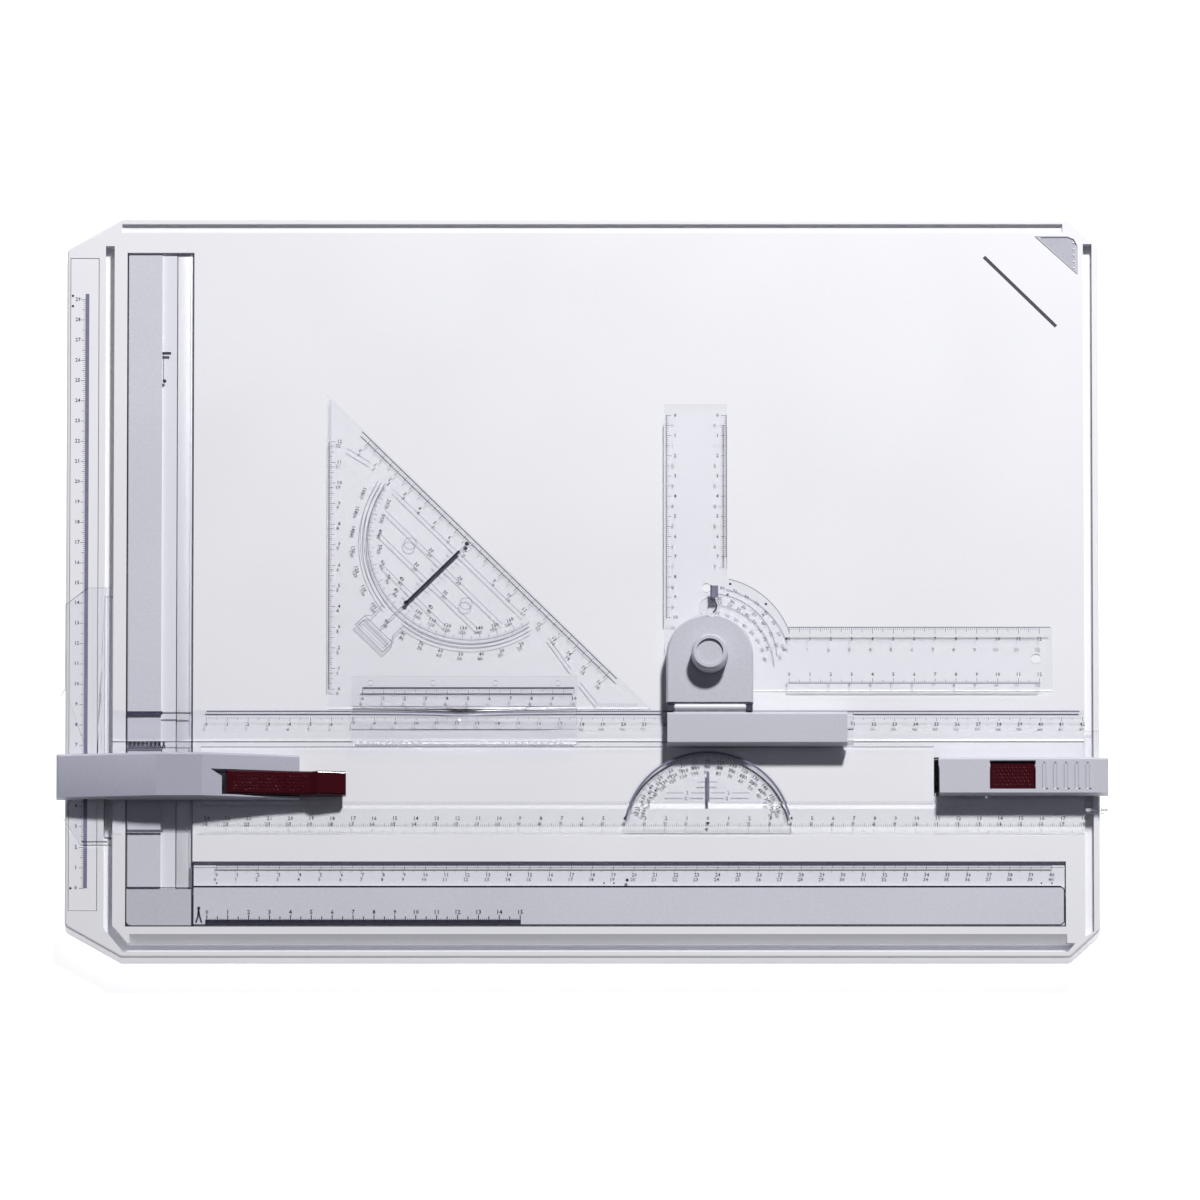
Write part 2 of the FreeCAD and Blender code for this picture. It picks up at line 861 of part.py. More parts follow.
springs = []
for index in range(3):
    middle = rail_front + 28 + (rail_back - rail_front - 56) / 2 * index
    leaf_shape = [
        (rail_left + 1.5, rail_floor),
        (rail_left + 6, rail_under - 0.35),
        (rail_left + 10.5, rail_floor),
        (rail_left + 11.1, rail_floor),
        (rail_left + 6.3, rail_under - 0.05),
        (rail_left + 5.7, rail_under - 0.05),
        (rail_left + 0.9, rail_floor),
    ]
    springs.append(prism("leaf_spring_%d" % index, "xz", leaf_shape, middle - 5, middle + 5))
keep(group("rail_springs", springs))


# ------------------------------------------------------------- parallel bar

bar = new_body("bar_plate")
add(bar, "xy", [rectangle(bar_left, bar_right, bar_front, bar_back)], bar_low, bar_top)
take(bar, "xy", [rectangle(window_left, window_right, lower_back, upper_front)], bar_low, bar_top)
# Both drawing edges slope down to a thin lip.
back_slope = [(bar_back - 3.4, bar_top), (bar_back, bar_low + bar_lip), (bar_back, bar_top)]
front_edge_slope = [(bar_front + 3, bar_top), (bar_front, bar_low + bar_lip), (bar_front, bar_top)]
take(bar, "yz", [back_slope, front_edge_slope], bar_left, bar_right)
ridge_shape = [
    (ridge_front, bar_top),
    (ridge_back, bar_top),
    (ridge_back, ridge_top - 0.8),
    (ridge_back - 0.8, ridge_top),
    (ridge_front + 0.8, ridge_top),
    (ridge_front, ridge_top - 0.8),
]
rib_shape = [
    (lower_back - 3.2, bar_top),
    (lower_back, bar_top),
    (lower_back, bar_top + 1.5),
    (lower_back - 1.2, bar_top + 1.9),
]
add(bar, "yz", [ridge_shape], bar_left, bar_right)
add(bar, "yz", [rib_shape], window_left, bar_right)
# The bar arches over the left clamp rail so the rail can rock beneath it.
take(
    bar,
    "xz",
    [rectangle(rail_left - 2.6, rail_right + 2.4, bar_low, relief_high)],
    bar_front,
    bar_back,
)
# Hole under the release button.
take(
    bar,
    "xy",
    [rectangle(button_left + 3.5, button_right - 7, latch_front - gap, latch_back + gap)],
    bar_low,
    bar_top,
)
rim_low = bar_low + bar_lip
rim_high = dial_thick - bar_lip
dial_disc = rod("dial_disc", "z", dial_x, bar_front, bar_low, bar_lip, dial_radius, 180)
dial_rim = cone("dial_rim", "z", dial_x, bar_front, rim_low, rim_high, dial_radius, dial_radius - 2, 180)
bar_parts = fuse("bar_parts", [bar, dial_disc, dial_rim])
sink_radius = head_screw + 1 + seat
bar_hole = rod("bar_hole", "z", right_screw_x, head_screw_y, bar_low, bar_thick + 1, head_screw + 0.1)
bar_sink = rod("bar_sink", "z", right_screw_x, head_screw_y, bar_low, 0.8, sink_radius)
keep(cut("bar_ruler", bar_parts, [bar_hole, bar_sink]))

# Left guide shoe: a long clear plate whose tongue runs in the left groove.
left_shoe = new_body("left_guide_shoe")
shoe_shape = [
    (shoe_right, shoe_front),
    (shoe_right, shoe_back),
    (shoe_right - 12, shoe_back),
    (shoe_left + 1.8, shoe_back - 8.5),
    (shoe_left + 1.8, shoe_back - 50),
    (shoe_left, shoe_back - 53),
    (shoe_left, shoe_front + 15),
    (shoe_left + 9.5, shoe_front),
]
add(left_shoe, "xy", [shoe_shape], square_low, bar_top)
tongue_left = left_groove + gap
tongue_right = left_groove_in - gap
add(
    left_shoe,
    "xy",
    [rectangle(tongue_left, tongue_right, shoe_front + 4, shoe_back - 4)],
    tongue_low,
    square_low,
)
ribs = []
for offset in (2.2, 5.2, 8.4):
    ribs.append(rectangle(shoe_right - offset - 1.2, shoe_right - offset, left_head_back + 0.3, shoe_back - 1.2))
add(left_shoe, "xy", ribs, bar_top, bar_top + 1.5)
add(
    left_shoe,
    "xy",
    [rectangle(shoe_left + 10, shoe_right - 2, shoe_front + 1, left_head_front - 0.3)],
    bar_top,
    bar_top + 3.2,
)
take(left_shoe, "xy", [(left_screw_x, head_screw_y, head_screw + 0.1)], square_low, bar_top)
take(left_shoe, "xy", [(left_screw_x, head_screw_y, sink_radius)], square_low, square_low + 0.8)
keep(left_shoe)

# Left head: a faceted shell with a long slot for the stop lever.
left_head = new_body("left_head_cover")
head_shape = [
    (-head_end, bar_top),
    (left_head_right, bar_top),
    (left_head_right, bar_top + 3.4),
    (facet_two, left_head_top),
    (facet_one, left_head_top),
    (-head_end + 1, bar_top + 5.4),
    (-head_end, bar_top + 4.2),
]
add(left_head, "xz", [head_shape], left_head_front, left_head_back)
dress(
    left_head,
    "Chamfer",
    1.3,
    lambda box: near(box.YMin, left_head_back) and near(box.YMax, left_head_back)
    and box.XLength > 5 and box.ZMax > bar_top.number + 1,
)
inner_shape = [
    (-head_end + head_wall, bar_top),
    (facet_two - 2, bar_top),
    (facet_two - 2, left_head_top - head_wall),
    (facet_one + 0.5, left_head_top - head_wall),
    (-head_end + head_wall, bar_top + 3.4),
]
take(left_head, "xz", [inner_shape], left_head_front + head_wall, left_head_back - head_wall)
slot_back = left_head_back - 8.2
slot_front = left_head_front + 0.9
slot_outline = [
    (left_head_right + 1, slot_front),
    (left_head_right + 1, slot_back),
    (facet_two + 4, slot_back),
    (facet_two + 9.5, slot_back - 3.6),
    (facet_two + 9.5, slot_front),
]
take(left_head, "xy", [slot_outline], bar_top, left_head_top)
take(left_head, "xz", [(lever_pin_x, lever_pin_z, lever_pin_radius + seat)], left_head_front, slot_back + 3)
boss = rod("left_boss", "z", left_screw_x, head_screw_y, bar_top, 5.6, head_screw + 1.8)
boss_hole = rod("left_boss_hole", "z", left_screw_x, head_screw_y, bar_top, 5, head_screw + seat)
left_head.Label = "left_head_shell"
left_head_full = fuse("left_head_full", [left_head, boss])
keep(cut("left_head_cover", left_head_full, [boss_hole]))

pin_long = slot_back + 2.8 - left_head_front - 0.1
keep(rod("lever_pin", "y", lever_pin_x, left_head_front + 0.1, lever_pin_z, pin_long, lever_pin_radius))

# Stop lever: a finger tab on a tail with a rubber brake foot.
lever = new_body("stop_lever")
lever_tail = facet_two + 11.3
lever_shape = [
    (lever_tail, bar_top),
    (lever_tail + 7, bar_top),
    (lever_tail + 8, bar_top + 1.5),
    (lever_pin_x + 3, bar_top + 1.1),
    (lever_pin_x + 12, bar_top + 0.9),
    (lever_tip - 1.5, bar_top + 0.8),
    (lever_tip, bar_top + 1.8),
    (lever_tip, bar_top + 5.6),
    (lever_tip - 13.5, bar_top + 7.6),
    (lever_tip - 17, bar_top + 6),
    (lever_tail + 1, bar_top + 9),
    (lever_tail, bar_top + 8),
]
lever_back = slot_back - 0.45
lever_front = slot_front + 0.35
add(lever, "xz", [lever_shape], lever_front, lever_back)
dress(
    lever,
    "Chamfer",
    0.7,
    lambda box: box.YLength < 0.01 and box.ZMin > bar_top.number + 5.3 and box.XLength > 2,
)
take(lever, "xz", [(lever_pin_x, lever_pin_z, lever_pin_radius + snug)], lever_front, lever_back)
keep(lever)
keep(
    plate(
        "brake_pad",
        lever_tail,
        lever_tail + 7,
        lever_front + 1,
        lever_back - 1,
        deck_top + 0.1,
        bar_top,
    )
)

# Right head: a low shell over the release button and its latch.
right_head = new_body("right_head_cover")
add(
    right_head,
    "xy",
    [rectangle(right_head_left, head_end, right_head_front, right_head_back)],
    bar_top,
    right_head_top,
)
dress(
    right_head,
    "Chamfer",
    1.2,
    lambda box: flat_at(box, right_head_top) and near(box.YMin, right_head_back) and box.XLength > 5,
)
cavity_edge = head_wall
take(
    right_head,
    "xy",
    [
        rectangle(
            right_head_left + 14,
            head_end - head_wall,
            right_head_front + cavity_edge,
            right_head_back - cavity_edge,
        )
    ],
    bar_top,
    right_head_top - head_wall,
)
button_back = right_head_back - 2.1
button_front = right_head_front + 2.1
take(
    right_head,
    "xy",
    [rectangle(button_left - gap, button_right + gap, button_front - gap, button_back + gap)],
    right_head_top - head_wall,
    right_head_top,
)
take(
    right_head,
    "yz",
    [rectangle(latch_front - gap, latch_back + gap, bar_top, bar_top + latch_thick + 0.9)],
    head_end - head_wall,
    head_end,
)
grips = []
for index in range(5):
    rib_x = button_right + 5.7 + 5.2 * index
    grips.append(rectangle(rib_x - 0.5, rib_x + 0.5, button_front, button_back))
add(right_head, "xy", grips, right_head_top, right_head_top + 0.5)
right_head.Label = "right_head_shell"
right_boss_hole = rod("right_boss_hole", "z", right_screw_x, head_screw_y, bar_top, 4.6, head_screw + seat)
keep(cut("right_head_cover", right_head, [right_boss_hole]))

keep(
    plate(
        "right_end_cap",
        window_right,
        right_head_left - 0.4,
        right_head_front,
        right_head_back,
        bar_top,
        right_head_top - 1,
    )
)

# Right guide shoe with a tongue in the right groove and a slot for the latch.
right_shoe = new_body("right_guide_shoe")
short_front = bar_front + 9.9
short_back = bar_back - 10.4
skirt_low = deck_top - 4
short_shape = [
    (bar_right, short_front),
    (head_end - 2.5, short_front),
    (head_end, short_front + 2.5),
    (head_end, short_back - 1.8),
    (head_end - 2, short_back),
    (bar_right, short_back),
]
short_tongue = rectangle(
    right_groove - groove_wide + gap, right_groove - gap, short_front + 2.5, short_back - 2.3
)
short_skirt = rectangle(half_wide + 0.5, head_end, short_front + 2.5, short_back - 2.3)
short_step = rectangle(bar_right + 0.5, head_end - 3, short_front + 1, right_head_front - 0.4)
add(right_shoe, "xy", [short_shape], square_low, bar_top)
add(right_shoe, "xy", [short_tongue], tongue_low, square_low)
add(right_shoe, "xy", [short_skirt], skirt_low, square_low)
add(right_shoe, "xy", [short_step], bar_top, bar_top + 2.6)
take(
    right_shoe,
    "xy",
    [rectangle(half_wide + gap, head_end, latch_front - 0.4, latch_back + 0.4)],
    skirt_low,
    bar_top,
)
keep(right_shoe)

# Release button and the latch that it drives outwards.
button_under = right_head_top - 3.1
button = new_body("release_button")
add(
    button,
    "xy",
    [rectangle(button_left, button_right, button_front, button_back)],
    button_under,
    right_head_top - 1.4,
)
dress(
    button,
    "Chamfer",
    0.5,
    lambda box: flat_at(box, right_head_top - 1.4),
)
button_leg = [
    (button_left + 7.6, button_under),
    (button_left + 7.6, bar_top + 2.3),
    (button_left + 11, bar_top + 2.3),
    (button_left + 12.6, bar_top + 3.9),
    (button_left + 12.6, button_under),
]
add(button, "xz", [button_leg], latch_front + 1.4, latch_back - 1.4)
keep(button)

latch = new_body("bar_latch")
latch_low = bar_top + 0.4
latch_high = latch_low + latch_thick
latch_hole_left = button_left + 7.6 - latch_stroke - gap
latch_hole = [
    (latch_hole_left, latch_low),
    (button_left + 11, latch_low),
    (button_left + 12.5, latch_high),
    (latch_hole_left, latch_high),
]
latch_profile = [
    (button_left + 3, latch_low),
    (half_wide + 0.7, latch_low),
    (half_wide + 0.7, channel_high - 0.5),
    (half_wide - 1, channel_high - 0.8),
    (half_wide - 1, channel_low + 0.8),
    (half_wide + 0.7, channel_low + 0.4),
    (head_end - 0.6, channel_low + 0.4),
    (head_end - 0.6, latch_high),
    (button_left + 3, latch_high),
]
spring_x = button_right - 3.6
spring_y = (latch_front + latch_back) / 2
spring_out = spring_radius + spring_wire + gap
add(latch, "xz", [latch_profile], latch_front, latch_back)
take(latch, "xz", [latch_hole], latch_front + 0.8, latch_back - 0.8)
spring_slot = rectangle(
    spring_x - spring_out - latch_stroke,
    spring_x + spring_out,
    spring_y - spring_out,
    spring_y + spring_out,
)
take(latch, "xy", [spring_slot], latch_low, latch_high)
keep(latch)


# A folded leaf spring under the button passes up through the latch.
spring_low = bar_top + snug
spring_step = (button_under - snug - spring_low) / 3
spring_shape = []
for index in range(4):
    lean = -1.0 if index % 2 == 0 else 1.0
    spring_shape.append((spring_x + spring_radius * lean - spring_wire, spring_low + spring_step * index))
for index in range(3, -1, -1):
    lean = -1.0 if index % 2 == 0 else 1.0
    spring_shape.append((spring_x + spring_radius * lean + spring_wire, spring_low + spring_step * index))
keep(prism("button_spring", "xz", spring_shape, spring_y - spring_radius, spring_y + spring_radius))

bar_screws = [
    screw("head_screw_0", left_screw_x, head_screw_y, square_low, head_screw, head_screw + 1, 0.8, 6),
    screw("head_screw_1", right_screw_x, head_screw_y, bar_low, head_screw, head_screw + 1, 0.8, 6),
]
keep(group("head_screws", bar_screws))


# --------------------------------------------------------------- set square

square = new_body("set_square")
square_shape = [
    (square_left, square_front),
    (square_left + square_leg, square_front),
    (square_left, square_front + square_leg),
]
add(square, "xy", [square_shape], square_low, square_top)
dress(square, "Chamfer", 0.6, lambda box: flat_at(box, square_top))
rivet_spots = []
for index in range(4):
    rivet_spots.append((grip_left + 9 + 30 * index, square_front + 12.6))
take(square, "xy", [(x, y, rivet_radius + seat) for x, y in rivet_spots], square_low, square_top)
keep(square)

frame_back = square_front + 15.9
handle = new_body("square_handle")
add(
    handle,
    "xy",
    [rectangle(grip_left, grip_right, square_front - 0.1, frame_back)],
    square_top,
    frame_top,
)
handle_shape = [
    (square_front + 0.8, frame_top),
    (square_front - 0.1, frame_top),
    (square_front - 0.1, bar_top + 0.3),
    (ridge_back + gap, bar_top + 0.3),
    (ridge_back + gap, ridge_top + gap),
    (ridge_front - gap, ridge_top + gap),
    (ridge_front - gap, bar_top + 0.3),
    (ridge_front - 2.2, bar_top + 0.3),
    (ridge_front - 2.2, grip_top - 1),
    (ridge_front - 1.2, grip_top),
    (ridge_back + 1.5, grip_top),
    (ridge_back + 2.6, grip_top - 1.2),
    (ridge_back + 3.4, bar_top + 2),
    (square_front + 0.8, bar_top + 1.6),
]
add(handle, "yz", [handle_shape], grip_left, grip_right)
dress(handle, "Fillet", 1.6, lambda box: box.ZLength > 4 and box.YLength < 0.01
      and near(box.YMin, ridge_front - 2.2))
flutes = []
for start in (grip_left + 4, grip_left + 72):
    for index in range(10):
        flute_x = start + 3.1 * index
        flutes.append(rectangle(flute_x, flute_x + 1.5, ridge_front - 2.3, ridge_back + 1.6))
take(handle, "xy", flutes, grip_top - 0.6, grip_top)
take(handle, "xy", [(x, y, rivet_radius + seat) for x, y in rivet_spots], square_top, frame_top)
keep(handle)
rivets = []
for index, (x, y) in enumerate(rivet_spots):
    rivets.append(rod("rivet_%d" % index, "z", x, y, square_low, frame_top - square_low, rivet_radius))
keep(group("handle_rivets", rivets))


# ------------------------------------------------- carriage and swivel head

carriage = new_body("carriage_block")
block_shape = [
    (block_front, bar_top + 0.3),
    (ridge_front - gap, bar_top + 0.3),
    (ridge_front - gap, ridge_top + 0.9),
    (ridge_back + gap, ridge_top + 0.9),
    (ridge_back + gap, bar_top + 0.3),
    (block_back, bar_top + 0.3),
    (block_back, block_top - 1.4),
    (block_back - 1.6, block_top),
    (block_front + 0.4, block_top),
    (block_front, block_top - 0.4),
]
add(carriage, "yz", [block_shape], block_left, block_right)
keep(carriage)
window_shape = [
    (block_front + 0.3, bar_top + 0.3),
    (ridge_front - gap, bar_top + 0.3),
    (ridge_front - gap, ridge_top + 0.9),
    (ridge_back + gap, ridge_top + 0.9),
    (ridge_back + gap, bar_top + 0.3),
    (block_back - 0.3, bar_top + 0.3),
    (block_back - 0.3, block_top - 2),
    (block_back - 1.8, block_top - 0.6),
    (block_front + 0.3, block_top - 0.6),
]
keep(prism("carriage_end", "yz", window_shape, block_right, block_right + 2.9))
glides = []
for index, x in enumerate((block_left + 5, block_right - 17)):
    glides.append(
        plate("glide_%d" % index, x, x + 12, ridge_front + 0.9, ridge_back - 0.9,
              ridge_top + snug, ridge_top + 0.9)
    )
keep(group("carriage_glides", glides))

ear_spots = (block_left + 0.2, block_left + 37.9)
ears = []
for index, x in enumerate(ear_spots):
    ear = new_body("hinge_ear_%d" % index)
    ear_shape = [
        (block_back, bar_top + 0.8),
        (hinge_y + 1.2, bar_top + 0.8),
        (hinge_y + knuckle, hinge_z - 1),
        (hinge_y + knuckle, hinge_z + 0.6),
        (hinge_y + 0.7, hinge_z + knuckle - 0.3),
        (block_back, hinge_z + knuckle - 0.3),
    ]
    add(ear, "yz", [ear_shape], x, x + ear_wide)
    take(ear, "yz", [(hinge_y, hinge_z, hinge_pin + seat)], x, x + ear_wide)
    ears.append(ear)
keep(group("hinge_ears", ears))
pin_left = ear_spots[0]
pin_long = ear_spots[1] + ear_wide - pin_left
keep(rod("head_hinge_pin", "x", pin_left, hinge_y, hinge_z, pin_long, hinge_pin))

# White base of the head, with the hinge knuckle along its front edge.
base_left = ear_spots[0] + ear_wide + 0.4
base_right = ear_spots[1] - 0.4
base_low = cap_low
base_high = base_low + 1.8
arm_base = plate("arm_base_plate", base_left, base_right, hinge_y, pivot_y, base_low, base_high)
arm_disc = rod("arm_disc", "z", pivot_x, pivot_y, base_low, 1.8, cap_radius - 3.6)
arm_knuckle = rod("arm_knuckle", "x", base_left, hinge_y, hinge_z, base_right - base_left, knuckle)
arm_web = plate("arm_web", base_left, base_right, hinge_y, hinge_y + 2.1, base_low, hinge_z + 1)
arm_full = fuse("arm_full", [arm_base, arm_disc, arm_knuckle, arm_web])
arm_bore = rod("arm_bore", "x", base_left, hinge_y, hinge_z, base_right - base_left, hinge_pin + snug)
arm_hole = rod("arm_hole", "z", pivot_x, pivot_y, base_low, 1.8, bush_radius + seat)
keep(cut("head_base", arm_full, [arm_bore, arm_hole]))

# Grey cap over the base.
cap_left = pivot_x - cap_radius
cap_right = pivot_x + cap_radius
cap_front = hinge_y + 2.3
cap_box = plate("cap_box", cap_left, cap_right, cap_front, pivot_y, cap_low, cap_top - 1)
cap_disc = rod("cap_disc", "z", pivot_x, pivot_y, cap_low, cap_top - 1 - cap_low, cap_radius)
cap_rim = cone("cap_rim", "z", pivot_x, pivot_y, cap_top - 1, 1, cap_radius, cap_radius - 1)
cap_lid = prism(
    "cap_lid",
    "xz",
    [
        (cap_left, cap_top - 1),
        (cap_right, cap_top - 1),
        (cap_right - 1, cap_top),
        (cap_left + 1, cap_top),
    ],
    cap_front,
    pivot_y,
)
cap_full = fuse("cap_full", [cap_box, cap_disc, cap_rim, cap_lid])
cap_roof = cap_top - cap_wall
cap_inner = cap_radius - cap_wall
cap_hollow = rod("cap_hollow", "z", pivot_x, pivot_y, cap_low, cap_roof - cap_low, cap_inner)
cap_hollow_box = plate(
    "cap_hollow_box",
    cap_left + cap_wall,
    cap_right - cap_wall,
    cap_front - 1,
    pivot_y,
    cap_low,
    cap_roof,
)
cap_hole = rod("cap_hole", "z", pivot_x, pivot_y, cap_low, 10, stud_radius + gap)
cap_notch = rod("cap_notch", "z", pivot_x, catch_y, cap_low, 10, 5.5)
catch_foot = catch_y - 6.8
tail_way = plate(
    "catch_tail_way",
    pivot_x - 2 - gap,
    pivot_x + 2 + gap,
    catch_foot - 1.5,
    catch_y,
    cap_low,
    cap_low + 1.6 + gap,
)
keep(cut("head_cap", cap_full, [cap_hollow, cap_hollow_box, cap_hole, cap_notch, tail_way]))

# The bush carries the ruler; its flange sits in the ruler's underside.
bush_low = ruler_low + 0.1
bush_stem = rod("bush_stem", "z", pivot_x, pivot_y, bush_low, base_high - bush_low, bush_radius)
bush_flange = rod("bush_flange", "z", pivot_x, pivot_y, bush_low, 0.6, bush_radius + 3)
bush_full = fuse("bush_full", [bush_stem, bush_flange])
bush_bore = rod("bush_bore", "z", pivot_x, pivot_y, bush_low, 8, stud_radius + snug)
keep(cut("pivot_bush", bush_full, [bush_bore]))

# Index catch: a clear slide that locks the ruler, on the head's far side.
catch_disc = rod("catch_disc", "z", pivot_x, catch_y, cap_low, 2.4, 5)
catch_tail = plate("catch_tail", pivot_x - 2, pivot_x + 2, catch_foot, catch_y, cap_low, cap_low + 1.6)
catch_full = fuse("catch_full", [catch_disc, catch_tail])
catch_dimple = rod("catch_dimple", "z", pivot_x, catch_y, cap_low + 1.8, 2, 3)
keep(cut("index_catch", catch_full, [catch_dimple]))

# Clear L-shaped swivel ruler.
arm = new_body("ruler_arms")
arm_shape = [
    (pivot_x - arm_out, pivot_y),
    (pivot_x, pivot_y - arm_half),
    (pivot_x + arm_long, pivot_y - arm_half),
    (pivot_x + arm_long, pivot_y + arm_half),
    (pivot_x + arm_in, pivot_y + arm_half),
    (pivot_x + arm_in, pivot_y + arm_up),
    (pivot_x - arm_out, pivot_y + arm_up),
]
add(arm, "xy", [arm_shape], ruler_low, ruler_top)
dress(
    arm,
    "Chamfer",
    0.7,
    lambda box: flat_at(box, ruler_top) and (box.XLength > 50 or box.YLength > 50),
)
hub_disc = rod("hub_disc", "z", pivot_x, pivot_y, ruler_low, ruler_top - ruler_low, arm_out)
sector = rod("sector", "z", pivot_x, pivot_y, ruler_low, ruler_top - ruler_low, sector_radius, 90)
ruler_full = fuse("ruler_full", [arm, hub_disc, sector])
ruler_bore = rod("ruler_bore", "z", pivot_x, pivot_y, ruler_low, 4, bush_radius + snug)
ruler_sink = rod("ruler_sink", "z", pivot_x, pivot_y, ruler_low, 0.8, bush_radius + 3.3)
slot_hole = rod("slot_hole", "z", pivot_x - 1.5, catch_y + 10.5, ruler_low, 4, 2.2)
slot_long = plate("slot_long", pivot_x + 0.6, pivot_x + 3.4, catch_y + 5.5, catch_y + 11, ruler_low, ruler_top)
hang_hole = rod("hang_hole", "z", pivot_x + arm_long - 8, pivot_y, ruler_low, 4, 2.4)
keep(cut("angle_ruler", ruler_full, [ruler_bore, ruler_sink, slot_hole, slot_long, hang_hole]))

# Clamp knob and its stud.
knob_skirt = rod("knob_skirt", "z", pivot_x, pivot_y, knob_low, knob_top - 1 - knob_low, knob_radius)
knob_crown = cone("knob_crown", "z", pivot_x, pivot_y, knob_top - 1, 1, knob_radius, knob_radius - 1)
knob_full = fuse("knob_full", [knob_skirt, knob_crown])
knob_dish = rod("knob_dish", "z", pivot_x, pivot_y, knob_top - 1.2, 2, knob_radius - 2.4)
knob_hole = rod("knob_hole", "z", pivot_x, pivot_y, knob_low, 4, stud_radius + seat)
keep(cut("clamp_knob", knob_full, [knob_dish, knob_hole]))
stud_low = ruler_low + 0.2
keep(rod("clamp_stud", "z", pivot_x, pivot_y, stud_low, knob_low + 4 - stud_low, stud_radius))


# --------------------------------------------------------------------- legs

def leg(label, side):
    """One fold-out leg lying in its well."""
    middle = side * leg_x
    bar_part = plate(
        label + "_bar",
        middle - leg_half,
        middle + leg_half,
        leg_y - leg_reach,
        leg_y,
        leg_z - leg_thick / 2,
        leg_z + leg_thick / 2,
    )
    hub = rod(label + "_hub", "x", middle - leg_half, leg_y, leg_z, leg_half * 2, leg_thick / 2)
    whole = fuse(label + "_whole", [bar_part, hub])
    bore = rod(label + "_bore", "x", middle - leg_half, leg_y, leg_z, leg_half * 2, leg_pin + snug)
    slot = plate(
        label + "_slot",
        middle - leg_half + 3,
        middle + leg_half - 3,
        leg_y - leg_reach + 8,
        leg_y - 9,
        leg_z - leg_thick / 2,
        leg_z - leg_thick / 2 + 2.4,
    )
    keep(cut(label, whole, [bore, slot]))
    keep(
        plate(
            label + "_cap",
            middle - leg_half - 0.5,
            middle + leg_half + 0.5,
            leg_y - leg_reach - 7,
            leg_y - leg_reach,
            leg_z - leg_thick / 2 - 0.2,
            leg_z + leg_thick / 2 + 0.2,
        )
    )
    return rod(
        label + "_pin",
        "x",
        middle - well_half - 1.9,
        leg_y,
        leg_z,
        well_half * 2 + 3.8,
        leg_pin,
    )


leg_pins = [leg("leg_left", -1), leg("leg_right", 1)]
keep(group("leg_pins", leg_pins))


# ------------------------------------------------------------------- export

doc.recompute()
for item in doc.Objects:
    if "Invalid" in item.State or "Error" in item.State:
        raise RuntimeError("%s did not build" % item.Label)
for label, item in nodes.items():
    shape = item.Shape
    if shape.isNull() or not shape.isValid() or not shape.Solids:
        raise RuntimeError("%s is not a sound solid" % label)
    shape.exportStep("parts/%s.step" % label)
print("%d nodes" % len(nodes))
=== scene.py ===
"""Portable drawing board: finishes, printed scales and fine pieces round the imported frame."""

import json
import math

import bmesh
import bpy
from bpy.props import FloatProperty, FloatVectorProperty, PointerProperty
from mathutils import Matrix, Vector
from mathutils.bvhtree import BVHTree


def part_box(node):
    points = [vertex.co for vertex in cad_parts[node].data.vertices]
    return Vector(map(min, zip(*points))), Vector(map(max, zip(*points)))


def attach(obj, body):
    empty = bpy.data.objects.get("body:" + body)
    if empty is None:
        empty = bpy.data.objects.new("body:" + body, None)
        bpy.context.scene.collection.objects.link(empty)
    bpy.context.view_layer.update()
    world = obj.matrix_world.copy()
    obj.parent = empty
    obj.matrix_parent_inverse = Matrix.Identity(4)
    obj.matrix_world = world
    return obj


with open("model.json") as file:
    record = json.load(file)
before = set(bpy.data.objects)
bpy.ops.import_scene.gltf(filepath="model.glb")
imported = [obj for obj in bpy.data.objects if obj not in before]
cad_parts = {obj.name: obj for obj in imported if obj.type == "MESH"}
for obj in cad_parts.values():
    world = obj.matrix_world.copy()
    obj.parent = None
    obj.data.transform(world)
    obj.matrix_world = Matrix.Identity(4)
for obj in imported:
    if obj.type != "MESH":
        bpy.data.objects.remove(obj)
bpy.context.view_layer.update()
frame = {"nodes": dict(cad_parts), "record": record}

MM = 0.001

bl_info = {
    "name": "Portable Drawing Board",
    "version": (1, 0, 0),
    "blender": (4, 5, 0),
    "location": "View3D > Sidebar > Drawing Board",
    "description": "Finishes, printed scales and fine pieces of a portable drawing board",
    "category": "Object",
}


def srgb(code):
    """Linear colour of an sRGB hex code."""
    parts = [int(code[i:i + 2], 16) / 255 for i in (1, 3, 5)]
    return tuple(p / 12.92 if p <= 0.04045 else ((p + 0.055) / 1.055) ** 2.4 for p in parts)


def colour_property(name, description, code):
    """A colour that the user may change, with its sRGB default."""
    return FloatVectorProperty(
        name=name, description=description, default=srgb(code), subtype="COLOR", min=0, max=1
    )


def size_property(name, description, millimetres):
    """A length that the user may change, with its default in millimetres."""
    return FloatProperty(
        name=name, description=description, default=millimetres * MM, unit="LENGTH", precision=5
    )


class BoardColours(bpy.types.PropertyGroup):
    """Colours of the board's plastics and printing."""

    shell: colour_property("Shell", "Moulded board and its cover", "#EBEBEF")
    grey: colour_property("Grey", "Clamp rails, heads and carriage", "#C0C0CA")
    red: colour_property("Red", "Stop lever and release button", "#3C0711")
    clear: colour_property("Clear", "Tint of the clear rulers", "#FDFDFE")
    ink: colour_property("Ink", "Printed scales", "#26243C")
    soft_ink: colour_property("Soft ink", "Fine printed lines", "#74728C")


class BoardSizes(bpy.types.PropertyGroup):
    """Sizes of the printing and of the fine pieces."""

    numeral: size_property("Numeral height", "Height of the ruler numerals", 1.75)
    pen: size_property("Line width", "Width of a ruler's tick", 0.2)
    ink: size_property("Ink thickness", "Height of the printed ink", 0.05)
    stud_pitch: size_property("Stud pitch", "Distance between grip studs", 1.9)
    stud: size_property("Stud radius", "Radius of a grip stud", 0.55)
    edge: size_property("Edge round", "Rounding of the moulded edges", 0.35)


